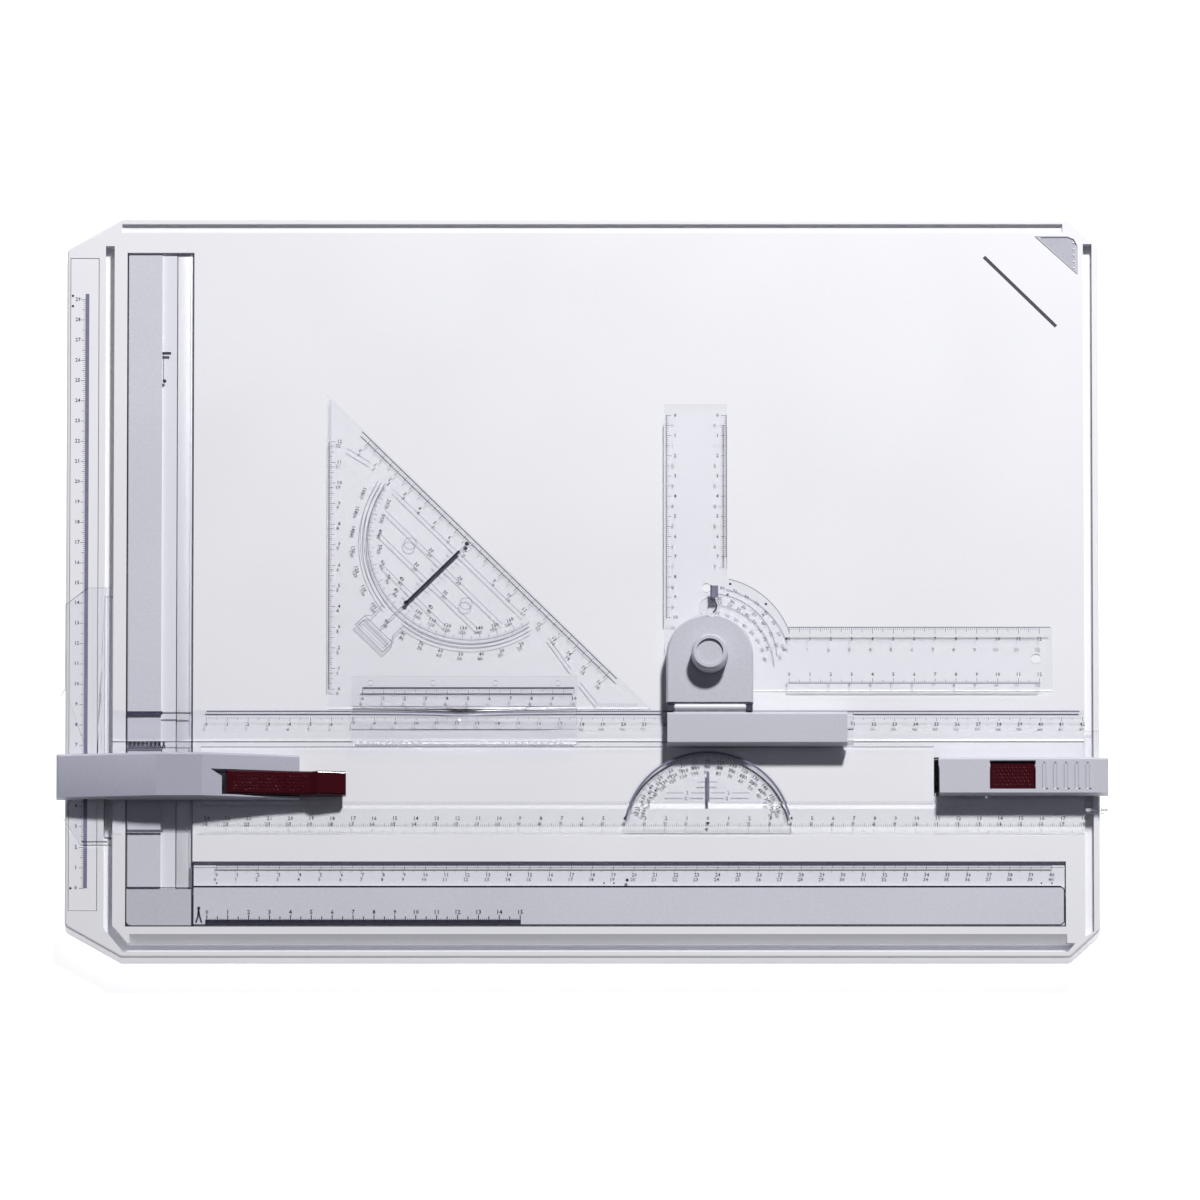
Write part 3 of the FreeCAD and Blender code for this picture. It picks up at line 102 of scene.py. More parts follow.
class BoardStudio(bpy.types.PropertyGroup):
    """Camera and lights."""

    elevation: FloatProperty(
        name="Elevation", description="Camera above the horizon",
        default=math.radians(76), subtype="ANGLE",
    )
    lens: FloatProperty(name="Lens", description="Focal length", default=900, unit="CAMERA")
    width: size_property("Width", "Width of the view at the board", 576)
    key: FloatProperty(name="Key", description="Light of the key lamp on the board", default=3.62)
    fill: FloatProperty(name="Fill", description="Strength of the sky", default=0.1)


# ---------------------------------------------------------------- materials


def add_node(tree, kind, settings=None, inputs=None):
    """Add one node, set its properties, and set or link its inputs."""
    node = tree.nodes.new(kind)
    for name, value in (settings or {}).items():
        setattr(node, name, value)
    for key, value in (inputs or {}).items():
        if isinstance(value, bpy.types.NodeSocket):
            tree.links.new(value, node.inputs[key])
        else:
            node.inputs[key].default_value = value
    return node


def new_material(name):
    """An empty node material and its tree."""
    material = bpy.data.materials.new(name)
    material.use_nodes = True
    material.node_tree.nodes.clear()
    return material, material.node_tree


def noise(tree, size_mm, detail=2.0):
    """Noise on Object coordinates whose features are size_mm across."""
    where = add_node(tree, "ShaderNodeTexCoord").outputs["Object"]
    return add_node(
        tree, "ShaderNodeTexNoise",
        inputs={"Vector": where, "Scale": 1 / (size_mm * MM), "Detail": detail, "Roughness": 0.6},
    ).outputs["Fac"]


def shade(tree, fac, colour, spread):
    """The colour, a little darker and lighter as fac goes from low to high."""
    ramp = add_node(tree, "ShaderNodeValToRGB", inputs={"Fac": fac})
    low, high = ramp.color_ramp.elements
    low.position, high.position = 0.32, 0.68
    low.color = [c * (1 - spread) for c in colour] + [1]
    high.color = [min(1, c * (1 + spread)) for c in colour] + [1]
    return ramp.outputs["Color"]


def bump(tree, height, strength, depth_mm):
    """A bump of depth_mm from a height."""
    return add_node(
        tree, "ShaderNodeBump",
        inputs={"Height": height, "Strength": strength, "Distance": depth_mm * MM},
    ).outputs["Normal"]


def close_material(tree, shader):
    """Join the shader to the output."""
    add_node(tree, "ShaderNodeOutputMaterial", inputs={"Surface": shader})


def moulded_plastic(name, colour, rough, grain_mm, spread, grain_depth,
                    coat=0.0, ledge=None, gloss=0.5):
    """Injection-moulded ABS: satin, with the fine eroded grain of its mould and a slow drift of tone.
    A ledge is a height in millimetres under which the moulding's second shot is white."""
    material, tree = new_material(name)
    grain = noise(tree, grain_mm)
    drift = noise(tree, 70, 1.0)
    both = add_node(
        tree, "ShaderNodeMath", {"operation": "MULTIPLY_ADD"},
        {0: grain, 1: 0.75, 2: add_node(
            tree, "ShaderNodeMath", {"operation": "MULTIPLY"}, {0: drift, 1: 0.25}).outputs[0]},
    ).outputs[0]
    worn = add_node(
        tree, "ShaderNodeMapRange",
        inputs={"Value": drift, "From Min": 0.3, "From Max": 0.7, "To Min": rough - 0.05,
                "To Max": rough + 0.05},
    ).outputs["Result"]
    tone = shade(tree, both, colour, spread)
    if ledge:
        where = add_node(tree, "ShaderNodeTexCoord").outputs["Object"]
        height = add_node(tree, "ShaderNodeSeparateXYZ", inputs={0: where}).outputs["Z"]
        above = add_node(
            tree, "ShaderNodeMath", {"operation": "GREATER_THAN"}, {0: height, 1: ledge * MM}
        ).outputs[0]
        tone = add_node(
            tree, "ShaderNodeMix", {"data_type": "RGBA"},
            {"Factor": above, 6: (*srgb("#E9E9EE"), 1), 7: tone},
        ).outputs[2]
    shader = add_node(
        tree, "ShaderNodeBsdfPrincipled",
        inputs={
            "Base Color": tone,
            "Roughness": worn,
            "IOR": 1.53,
            "Specular IOR Level": gloss,
            "Coat Weight": coat,
            "Coat Roughness": 0.2,
            "Normal": bump(tree, grain, 0.35, grain_depth),
        },
    ).outputs["BSDF"]
    close_material(tree, shader)
    return material


def clear_acrylic(name, tint):
    """Clear moulded acrylic: polished faces that let the lamps through, with faint flow marks."""
    material, tree = new_material(name)
    flow = noise(tree, 18, 1.0)
    rough = add_node(
        tree, "ShaderNodeMapRange",
        inputs={"Value": flow, "From Min": 0.3, "From Max": 0.7, "To Min": 0.015, "To Max": 0.05},
    ).outputs["Result"]
    glass = add_node(
        tree, "ShaderNodeBsdfPrincipled",
        inputs={
            "Base Color": (*tint, 1),
            "Roughness": rough,
            "IOR": 1.49,
            "Transmission Weight": 1.0,
            "Normal": bump(tree, flow, 0.06, 0.2),
        },
    ).outputs["BSDF"]
    through = add_node(tree, "ShaderNodeBsdfTransparent", inputs={"Color": (*tint, 1)}).outputs[0]
    path = add_node(tree, "ShaderNodeLightPath").outputs
    soft = add_node(
        tree, "ShaderNodeMath", {"operation": "MAXIMUM"},
        {0: path["Is Shadow Ray"], 1: path["Is Diffuse Ray"]},
    ).outputs[0]
    mixed = add_node(tree, "ShaderNodeMixShader", inputs={0: soft, 1: glass, 2: through})
    close_material(tree, mixed.outputs[0])
    return material


def printed_ink(name, colour):
    """Screen-printed ink: matt, a little uneven in cover."""
    material, tree = new_material(name)
    cover = noise(tree, 2.5)
    shader = add_node(
        tree, "ShaderNodeBsdfPrincipled",
        inputs={"Base Color": shade(tree, cover, colour, 0.12), "Roughness": 0.55, "IOR": 1.48},
    ).outputs["BSDF"]
    close_material(tree, shader)
    return material


def bright_zinc(name, code, rough):
    """Zinc-plated or turned metal: fine tool lines that stretch the highlights."""
    material, tree = new_material(name)
    lines = noise(tree, 0.6, 4.0)
    spread = add_node(
        tree, "ShaderNodeMapRange",
        inputs={"Value": lines, "To Min": rough - 0.08, "To Max": rough + 0.1},
    ).outputs["Result"]
    shader = add_node(
        tree, "ShaderNodeBsdfPrincipled",
        inputs={
            "Base Color": shade(tree, lines, srgb(code), 0.08),
            "Metallic": 1.0,
            "Roughness": spread,
            "Normal": bump(tree, lines, 0.1, 0.02),
        },
    ).outputs["BSDF"]
    close_material(tree, shader)
    return material


MATERIALS = {}


def make_materials(colours):
    """Make every finish once."""
    MATERIALS.update({
        # Satin ABS of the shell, lavender white; the grain shows only as a soft sheen.
        "shell": moulded_plastic("moulded_abs_lavender_white", colours.shell, 0.42, 1.1, 0.012, 0.012),
        # Mid-grey ABS with metal flake, so that it looks finely speckled.
        "grey": moulded_plastic("moulded_abs_flake_grey", colours.grey, 0.46, 0.75, 0.075, 0.03),
        # A darker copy of the grey. On the left head cover its darkness is painted shade; the badge's
        # ribs are drawn in it too.
        "head_shade_and_rib_grey": moulded_plastic("moulded_abs_grey_head_shade_and_ribs", srgb("#ABABBA"), 0.46, 0.75, 0.07, 0.03),
        "two_shot": moulded_plastic(
            "two_shot_abs_grey_on_white", srgb("#CDCDD7"), 0.46, 0.75, 0.06, 0.03, ledge=15.2
        ),
        "scale": moulded_plastic("moulded_abs_gloss_white", srgb("#F1F1F5"), 0.3, 1.4, 0.01, 0.01, 0.2),
        "white": moulded_plastic("moulded_abs_white", srgb("#E6E6EC"), 0.4, 1.2, 0.015, 0.012),
        "red": moulded_plastic("moulded_abs_dark_red", colours.red, 0.14, 0.9, 0.1, 0.004, gloss=0.3),
        "dark": moulded_plastic("moulded_acetal_charcoal", srgb("#25243A"), 0.45, 0.8, 0.08, 0.02),
        "rubber": moulded_plastic("moulded_rubber_black", srgb("#1B1B20"), 0.8, 0.6, 0.12, 0.05),
        "magnet": moulded_plastic("pressed_ferrite", srgb("#303036"), 0.6, 0.5, 0.1, 0.03),
        "clear": clear_acrylic("moulded_acrylic_clear", colours.clear),
        "ink": printed_ink("screen_ink_navy", colours.ink),
        "soft_ink": printed_ink("screen_ink_grey", colours.soft_ink),
        "bead": printed_ink("screen_ink_white", srgb("#F4F4F8")),
        "steel": bright_zinc("zinc_plated_steel", "#C9C9CF", 0.32),
        "brass": bright_zinc("turned_brass", "#D9B56A", 0.28),
    })


FINISH_OF_SLOT = {
    "shell_plastic": "shell",
    "grey_plastic": "grey",
    "clear_acrylic": "clear",
    "scale_plastic": "scale",
    "red_plastic": "red",
    "white_plastic": "white",
    "dark_plastic": "dark",
    "steel": "steel",
    "magnet": "magnet",
    "rubber": "rubber",
    "brass": "brass",
}


# ---------------------------------------------------------------- mesh tools


def centre_of(node):
    """Middle of a CAD node's box, in millimetres."""
    low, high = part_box(node)
    return (low + high) / 2 / MM


def box_mm(node):
    """Low and high corner of a CAD node, in millimetres."""
    low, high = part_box(node)
    return low / MM, high / MM


SURFACES = {}


def top_at(node, x, y):
    """Height of a CAD node's top face at a point, all in millimetres."""
    if node not in SURFACES:
        mesh = frame["nodes"][node].data
        SURFACES[node] = BVHTree.FromPolygons(
            [v.co[:] for v in mesh.vertices], [p.vertices[:] for p in mesh.polygons]
        )
    hit = SURFACES[node].ray_cast(Vector((x * MM, y * MM, 0.1)), Vector((0, 0, -1)))
    if hit[0] is None:
        raise ValueError("%s has no face above %s, %s" % (node, x, y))
    return hit[0].z / MM


def finish_piece(bm, name, body, finish, smooth=35):
    """Turn a bmesh in millimetres into a piece that rides on its body."""
    bmesh.ops.remove_doubles(bm, verts=bm.verts, dist=1e-5)
    bmesh.ops.recalc_face_normals(bm, faces=bm.faces)
    bmesh.ops.scale(bm, vec=(MM, MM, MM), verts=bm.verts)
    mesh = bpy.data.meshes.new(name)
    bm.to_mesh(mesh)
    bm.free()
    if smooth:
        mesh.shade_smooth()
        mesh.set_sharp_from_angle(angle=math.radians(smooth))
    mesh.materials.append(MATERIALS[finish])
    piece = bpy.data.objects.new(name, mesh)
    bpy.context.scene.collection.objects.link(piece)
    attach(piece, body)


# Cap height of the numerals' font at size 1, and how far their strokes are fattened.
CAP_HEIGHT = 0.7
STROKE_GROWTH = 0.022

# Air under printed ink, so that it and the face below stay apart, in millimetres.
INK_GAP = 0.02

GLYPHS = {}


def glyph(text):
    """A flat word of unit cap height, centred, as a mesh of closed solids."""
    if text not in GLYPHS:
        curve = bpy.data.curves.new("numeral", "FONT")
        curve.body = text
        curve.align_x, curve.align_y = "CENTER", "CENTER"
        curve.resolution_u = 1
        curve.extrude = 0.5
        curve.offset = STROKE_GROWTH
        curve.size = 1 / CAP_HEIGHT
        holder = bpy.data.objects.new("numeral", curve)
        bpy.context.scene.collection.objects.link(holder)
        bpy.context.view_layer.update()
        graph = bpy.context.evaluated_depsgraph_get()
        GLYPHS[text] = bpy.data.meshes.new_from_object(holder.evaluated_get(graph))
        bpy.data.objects.remove(holder)
    return GLYPHS[text]


def towards(degree):
    """The flat direction at an angle in degrees."""
    angle = math.radians(degree)
    return Vector((math.cos(angle), math.sin(angle)))


class Print:
    """Ink marks of one printing, gathered as thin closed solids in millimetres."""

    def __init__(self, level, ink):
        self.bm = bmesh.new()
        self.thick = ink / MM
        self.z = level + INK_GAP + self.thick / 2

    def stroke(self, start, end, wide):
        """A straight line between two points."""
        start, end = Vector(start), Vector(end)
        run = end - start
        middle = (start + end) / 2
        place = Matrix.Translation((middle.x, middle.y, self.z))
        turn = Matrix.Rotation(math.atan2(run.y, run.x), 4, "Z")
        size = Matrix.Diagonal((run.length, wide, self.thick, 1))
        bmesh.ops.create_cube(self.bm, size=1, matrix=place @ turn @ size)

    def spoke(self, centre, way, reach, long, wide):
        """A line inwards from a circle around a centre."""
        self.stroke(centre + way * reach, centre + way * (reach - long), wide)

    def path(self, points, wide):
        """A line through several points."""
        for start, end in zip(points, points[1:]):
            self.stroke(start, end, wide)

    def dot(self, at, radius, sides=12):
        """A round dot."""
        bmesh.ops.create_cone(
            self.bm, cap_ends=True, segments=sides, radius1=radius, radius2=radius,
            depth=self.thick, matrix=Matrix.Translation((at[0], at[1], self.z)),
        )

    def arc(self, centre, radius, first, last, wide):
        """An arc from one angle to another, in degrees."""
        first, last = math.radians(first), math.radians(last)
        steps = max(6, int(radius * abs(last - first) / 2))
        corner = Matrix.Translation((centre[0], centre[1], self.z)) @ Matrix.Rotation(first, 4, "Z")
        stand = Matrix.Translation((radius, 0, 0)) @ Matrix.Rotation(math.pi / 2, 4, "X")
        size = Matrix.Diagonal((wide, self.thick, 1, 1))
        made = bmesh.ops.create_grid(
            self.bm, x_segments=1, y_segments=1, size=0.5, matrix=corner @ stand @ size
        )["verts"]
        face = made[0].link_faces[0]
        bmesh.ops.spin(
            self.bm, geom=[face, *face.edges, *face.verts], cent=(centre[0], centre[1], self.z),
            axis=(0, 0, 1), angle=last - first, steps=steps,
        )

    def word(self, text, at, high, turn=0.0):
        """Numerals of a cap height, turned by degrees."""
        place = Matrix.Translation((at[0], at[1], self.z))
        size = Matrix.Diagonal((high, high, self.thick, 1))
        copy = glyph(str(text)).copy()
        copy.transform(place @ Matrix.Rotation(math.radians(turn), 4, "Z") @ size)
        self.bm.from_mesh(copy)
        bpy.data.meshes.remove(copy)

    def ruler(self, origin, along, into, units, pitch=10.0, ticks=(2.6, 1.9, 1.2), pen=0.2):
        """Ticks for each millimetre, five and ten, from an origin along a line."""
        origin, along, into = Vector(origin), Vector(along), Vector(into)
        for index in range(units * 10 + 1):
            rank = 0 if index % 10 == 0 else 1 if index % 5 == 0 else 2
            foot = origin + along * (index * pitch / 10)
            self.stroke(foot, foot + into * ticks[rank], pen if rank < 2 else pen * 0.7)

    def numbers(self, origin, along, values, high, pitch=10.0):
        """Numerals a pitch apart along a line."""
        origin, along = Vector(origin), Vector(along)
        for index, value in enumerate(values):
            self.word(value, origin + along * (index * pitch), high)

    def finish(self, name, body, finish="ink"):
        """Close the printing as one piece."""
        finish_piece(self.bm, name, body, finish, smooth=0)


def edge_round(node, width, angle=40, segments=2):
    """Round a CAD node's moulded edges without touching its mesh."""
    weld = node.modifiers.new("weld", "WELD")
    weld.merge_threshold = 0.00001
    rounded = node.modifiers.new("edge", "BEVEL")
    rounded.width = width
    rounded.segments = segments
    rounded.limit_method = "ANGLE"
    rounded.angle_limit = math.radians(angle)
    rounded.harden_normals = False
    rounded.use_clamp_overlap = True


# ---------------------------------------------------------------- operators


class DRAWBOARD_OT_finish_frame(bpy.types.Operator):
    """Give every carried-over part its finish and its rounded edges"""

    bl_idname = "drawboard.finish_frame"
    bl_label = "Finish the moulded parts"

    def execute(self, context):
        make_materials(context.scene.board_colours)
        edge = context.scene.board_sizes.edge
        slots = {part["node"]: part["material_slot"] for part in frame["record"]["subparts"]}
        for name, node in frame["nodes"].items():
            slot = slots[name]
            node.data.materials.clear()
            node.data.materials.append(MATERIALS[OWN_FINISH.get(name, FINISH_OF_SLOT[slot])])
            for polygon in node.data.polygons:
                polygon.material_index = 0
            if name in ROUNDED:
                edge_round(node, edge * ROUNDED[name])
            if name in LAID_ON:
                relief = node.modifiers.new("relief", "DISPLACE")
                relief.strength = -0.03 * MM
                relief.mid_level = 0.0
        return {"FINISHED"}


# Parts whose finish isn't their slot's usual one.
OWN_FINISH = {
    "left_clamp_bar": "two_shot",
    "front_clamp_bar": "two_shot",
    # The left head cover takes the darker grey as painted shade.
    "left_head_cover": "head_shade_and_rib_grey",
    "keeper_strip": "dark",
    "head_hinge_pin": "white",
}

# Clear parts that lie on clear parts, drawn in by a hair so that their faces stay apart.
LAID_ON = ("square_handle",)

# Moulded parts whose edges are rounded, with the share of the usual rounding.
ROUNDED = {
    "left_head_cover": 1.0,
    "right_head_cover": 0.8,
    "carriage_block": 0.8,
    "head_cap": 0.7,
    "clamp_knob": 0.8,
    "stop_lever": 1.4,
    "release_button": 0.6,
    "left_clamp_bar": 0.5,
    "front_clamp_bar": 0.5,
    "square_handle": 0.8,
    "left_guide_shoe": 0.6,
    "right_guide_shoe": 0.6,
    "carriage_end": 0.5,
    "right_end_cap": 0.4,
}


class DRAWBOARD_OT_paper_ledges(bpy.types.Operator):
    """Set a white ledge under the inner edge of each clear clamp pane, where the paper rests"""

    bl_idname = "drawboard.paper_ledges"
    bl_label = "Add the paper ledges"

    def execute(self, context):
        bm = bmesh.new()
        left_bar, left_pane = box_mm("left_clamp_bar"), box_mm("left_clamp_pane")
        front_bar, front_pane = box_mm("front_clamp_bar"), box_mm("front_clamp_pane")
        top = left_pane[0].z - 0.3
        floor = box_mm("corner_plate")[0].z
        left_ledge = (
            Vector((left_bar[1].x + 0.4, left_pane[0].y, floor)),
            Vector((left_pane[1].x + 0.35, left_pane[1].y, top)),
        )
        front_ledge = (
            Vector((front_bar[0].x, front_bar[1].y + 0.25, floor)),
            Vector((front_pane[1].x, front_pane[1].y + 0.4, top)),
        )
        for low, high in (left_ledge, front_ledge):
            size = high - low
            bmesh.ops.create_cube(
                bm, size=1,
                matrix=Matrix.Translation((low + high) / 2) @ Matrix.Diagonal((*size, 1)),
            )
        bmesh.ops.bevel(
            bm, geom=bm.edges[:], offset=0.12, segments=2, profile=0.5, affect="EDGES", material=-1
        )
        finish_piece(bm, "paper_ledges", "board", "shell")
        return {"FINISHED"}


# Millimetres between the numerals of the scales that aren't printed at exactly ten.
MARGIN_PITCH = 10.04
SQUARE_PITCH = 10.2
HANDLE_PITCH = 10.13


class DRAWBOARD_OT_print_margin(bpy.types.Operator):
    """Print the centimetre scale on the board's left margin"""

    bl_idname = "drawboard.print_margin"
    bl_label = "Print the margin scale"

    def execute(self, context):
        sizes = context.scene.board_sizes
        low, high = box_mm("margin_scale")
        pen = sizes.pen / MM
        line_x = high.x - 5.4
        start_y = low.y + 10.9
        ink = Print(high.z, sizes.ink)
        ink.ruler((line_x - 0.9, start_y), (0, 1), (-1, 0), 29, MARGIN_PITCH, (2.0, 1.5, 0.9), pen)
        ink.numbers(
            (line_x - 4.5, start_y + 0.2), (0, 1), range(30), sizes.numeral / MM, MARGIN_PITCH
        )
        for along in (0, 288, 293.1):
            ink.dot((low.x + 0.9, start_y + along), 0.6)
        ink.finish("margin_print", "board")
        line = Print(high.z, sizes.ink)
        line.stroke((line_x, start_y), (line_x, start_y + 294.1), 1.8)
        line.finish("margin_line", "board", "soft_ink")
        return {"FINISHED"}


class DRAWBOARD_OT_print_front_rail(bpy.types.Operator):
    """Print both scales of the front clamp rail and its dark joint lines"""

    bl_idname = "drawboard.print_front_rail"
    bl_label = "Print the front rail"

    def execute(self, context):
        sizes = context.scene.board_sizes
        bar_low, bar_high = box_mm("front_clamp_bar")
        pane_low, pane_high = box_mm("front_clamp_pane")
        pen = sizes.pen / MM
        high = sizes.numeral / MM
        start_x = bar_low.x + 11.0
        ink = Print(pane_high.z, sizes.ink)
        ink.ruler((start_x, pane_high.y - 0.7), (1, 0), (0, -1), 40, pen=pen)
        ink.numbers((start_x, pane_high.y - 6.2), (1, 0), range(41), high)
        for along in (0, 185.5, 190.3, 395, 400):
            ink.dot((start_x + along, pane_low.y + 1.7), 0.42)
        ink.dot((start_x + 196.6, pane_low.y + 3.2), 0.8, 16)
        ink.finish("front_pane_print", "front_clamp_rail")

        dark = Print(bar_high.z, sizes.ink)
        start_x = bar_low.x + 6.4
        foot = bar_low.y + 1.0
        dark.ruler((start_x, foot), (1, 0), (0, 1), 15, 10.0, (4.0, 3.3, 2.2), pen * 2.4)
        dark.stroke((start_x - 0.8, foot + 0.5), (start_x + 150.3, foot + 0.5), 2.4)
        dark.numbers((start_x, foot + 5.4), (1, 0), range(16), high * 1.2)
        # Pointer mark in front of the zero.
        tip = (start_x - 4.0, foot + 6.8)
        dark.path([(tip[0] - 1.3, foot + 0.2), (tip[0] - 0.3, foot + 3.4), tip], 0.8)
        dark.path([(tip[0] + 1.5, foot + 0.2), (tip[0] + 0.5, foot + 3.4), tip], 0.8)
        dark.dot((tip[0] + 0.1, tip[1] + 0.6), 0.8)
        dark.finish("front_bar_print", "front_clamp_rail")

        lines = Print(pane_high.z, sizes.ink)
        left, right = bar_low.x, bar_high.x
        back, front = pane_low.y, bar_low.y
        lines.path([
            (left, back), (right - 1.6, back), (right - 0.2, back - 1.4),
            (right - 0.2, front + 1.6), (right - 1.8, front + 0.25), (left, front + 0.25),
        ], 0.45)
        lines.stroke((left, back), (right - 1.6, back), 0.8)
        lines.stroke((left - 0.8, front), (left - 0.8, pane_high.y), 0.7)
        lines.stroke((left, pane_high.y - 0.2), (right, pane_high.y - 0.2), 0.2)
        lines.finish("front_rail_lines", "front_clamp_rail")
        band = Print(pane_high.z, sizes.ink)
        band.stroke((bar_low.x + 11.0, pane_high.y - 1.5), (bar_low.x + 411.0, pane_high.y - 1.5), 0.5)
        band.finish("front_pane_band", "front_clamp_rail", "soft_ink")
        return {"FINISHED"}


class DRAWBOARD_OT_print_left_rail(bpy.types.Operator):
    """Print the paper mark and the dark lines at the ends of the left clamp rail; the line at its top
    end is painted shadow
    """

    bl_idname = "drawboard.print_left_rail"
    bl_label = "Print the left rail"

    def execute(self, context):
        sizes = context.scene.board_sizes
        pane_low, pane_high = box_mm("left_clamp_pane")
        bar_low, bar_high = box_mm("left_clamp_bar")
        ink = Print(pane_high.z, sizes.ink)
        left = pane_low.x + 0.6
        high_y = pane_high.y - 49.5
        ink.stroke((left - 0.6, high_y), (left + 3.6, high_y), 1.35)
        ink.stroke((left, high_y), (left, high_y - 13.6), 0.3)
        ink.dot((left + 0.5, high_y - 13.8), 0.95)
        ink.stroke((bar_low.x, bar_low.y + 0.3), (pane_low.x, bar_low.y + 0.3), 0.6)
        ink.stroke((pane_low.x, bar_low.y + 0.3), (pane_high.x, bar_low.y + 0.3), 0.3)
        # Painted shadow where the grey strip ends at the top of the rail.
        ink.stroke((bar_low.x, bar_high.y - 0.4), (pane_low.x, bar_high.y - 0.4), 0.7)
        ink.finish("left_rail_print_and_shadow", "left_clamp_rail")
        line = Print(pane_high.z, sizes.ink)
        line.stroke((pane_high.x - 0.2, pane_low.y), (pane_high.x - 0.2, pane_high.y), 0.22)
        line.finish("left_rail_line", "left_clamp_rail", "soft_ink")
        return {"FINISHED"}


# Height of the bar's relieved underside over its lowest face, in millimetres.
BAR_RELIEF = 0.9


class DRAWBOARD_OT_print_bar(bpy.types.Operator):
    """Print the two rulers of the parallel bar and its dark friction bands"""

    bl_idname = "drawboard.print_bar"
    bl_label = "Print the parallel bar"

    def execute(self, context):
        sizes = context.scene.board_sizes
        low, high = box_mm("bar_ruler")
        level = top_at("bar_ruler", 0, high.y - 6)
        pen = sizes.pen / MM
        numeral = sizes.numeral / MM
        start_x = low.x + 45.2
        ink = Print(level, sizes.ink)
        ink.ruler((start_x, high.y - 3.9), (1, 0), (0, -1), 42, ticks=(1.9, 1.3, 0.8), pen=pen)
        ink.numbers((start_x, high.y - 7.4), (1, 0), range(43), numeral)
        centre_x = DIAL_CENTRE[0]
        ink.ruler((centre_x - 240, low.y + 3.2), (1, 0), (0, 1), 42, ticks=(2.4, 1.7, 1.1), pen=pen)
        ink.numbers((centre_x - 240, low.y + 7.3), (1, 0),
                    [abs(v) for v in range(-24, 19)], numeral * 1.05)
        for step in range(5):
            ink.stroke((centre_x - 0.9 + step * 0.2, low.y + 5.3 - step * 0.32),
                       (centre_x + 0.9 - step * 0.2, low.y + 5.3 - step * 0.32), 0.34)
        ink.finish("bar_print", "parallel_bar")
        # A grey line painted along the bar's clear top edge, standing for the shade of that edge.
        line = Print(top_at("bar_ruler", 0, high.y - 1.2), sizes.ink)
        line.stroke((start_x, high.y - 0.8), (high.x - 2, high.y - 0.8), 0.75)
        line.finish("bar_edge_painted_shade", "parallel_bar", "soft_ink")

        # Dark bands on the relieved underside of the bar where it glides over the left rail.
        felt = Print(low.z + BAR_RELIEF, sizes.ink)
        left = box_mm("left_clamp_bar")[0].x
        middle = left + 17
        right = box_mm("left_clamp_pane")[1].x
        edge = high.y - 1.6
        grid_back, grid_front = high.y - 15.0, high.y - 18.8
        felt.stroke((left, edge), (middle, edge), 1.9)
        felt.stroke((middle, edge), (right, edge), 0.7)
        for index in range(9):
            x = left + 1 + index * 2
            felt.stroke((x, grid_front + 0.2), (x + 1.3, grid_back - 0.2), 0.75)
            felt.stroke((x + 1.3, grid_front + 0.2), (x, grid_back - 0.2), 0.75)
        grid_right = middle + 1.5
        felt.stroke((left, grid_back), (grid_right, grid_back), 0.5)
        felt.stroke((left, grid_front), (grid_right, grid_front), 0.5)
        felt.path([(grid_right, grid_front), (right, grid_front), (right, grid_back),
                   (grid_right, grid_back)], 0.25)
        felt.stroke((left, low.y + 1.5), (middle + 0.4, low.y + 1.5), 1.4)
        felt.finish("bar_glide_bands", "parallel_bar")
        return {"FINISHED"}


# The protractor's centre, then the radii of its ticks, line, ring and two rows of numerals.
DIAL_CENTRE = (60.1, -122.4)
DIAL_TICKS = 39.3
DIAL_LINE = 39.6
DIAL_RING = 40.1
DIAL_OUTER_ROW = 35.4
DIAL_INNER_ROW = 32.6


class DRAWBOARD_OT_print_dial(bpy.types.Operator):
    """Print the half-circle protractor of the parallel bar"""

    bl_idname = "drawboard.print_dial"
    bl_label = "Print the protractor"

    def execute(self, context):
        sizes = context.scene.board_sizes
        level = top_at("bar_ruler", DIAL_CENTRE[0], DIAL_CENTRE[1] + 37)
        centre = Vector(DIAL_CENTRE)
        pen = sizes.pen / MM
        numeral = sizes.numeral / MM
        ink = Print(level, sizes.ink)
        for degree in range(12, 169):
            long = 2.6 if degree % 10 == 0 else 1.9 if degree % 5 == 0 else 1.1
            ink.spoke(centre, towards(degree), DIAL_TICKS, long, pen * 0.8)
        for degree in range(20, 161, 10):
            way = towards(degree)
            ink.word(180 - degree, centre + way * DIAL_OUTER_ROW, numeral, degree - 90)
            ink.word(degree, centre + way * DIAL_INNER_ROW, numeral, degree - 90)
        for side in (-1, 1):
            ink.dot((centre.x + side * 34.3, centre.y + 13.0), 0.4)
        ink.finish("dial_print", "parallel_bar")

        fine = Print(level, sizes.ink)
        fine.arc(centre, DIAL_LINE, 9, 171, 0.3)
        fine.arc(centre, DIAL_RING, 13, 167, 0.8)
        fine.stroke((centre.x, centre.y + 15.4), (centre.x, centre.y + 30.2), 1.35)
        fine.stroke((centre.x - 4.8, centre.y + 25.3), (centre.x + 4.8, centre.y + 25.3), 0.3)
        for side in (-1, 1):
            for near, far in ((1.6, 8.2), (11.6, 20.0)):
                fine.stroke((centre.x + side * near, centre.y + 19.9),
                            (centre.x + side * far, centre.y + 19.9), 0.28)
            fine.word(2, (centre.x + side * 9.9, centre.y + 19.9), numeral)
        fine.finish("dial_lines", "parallel_bar", "soft_ink")
        return {"FINISHED"}


# Radii of the swivel ruler's quadrant: its ticks, its outer line, dots and rows of numerals.
QUADRANT_TICKS = 32.2
QUADRANT_LINE = 40.4
QUADRANT_DOTS = 38.2
QUADRANT_OUTER_ROW = 35.3
QUADRANT_INNER_ROW = 28.0


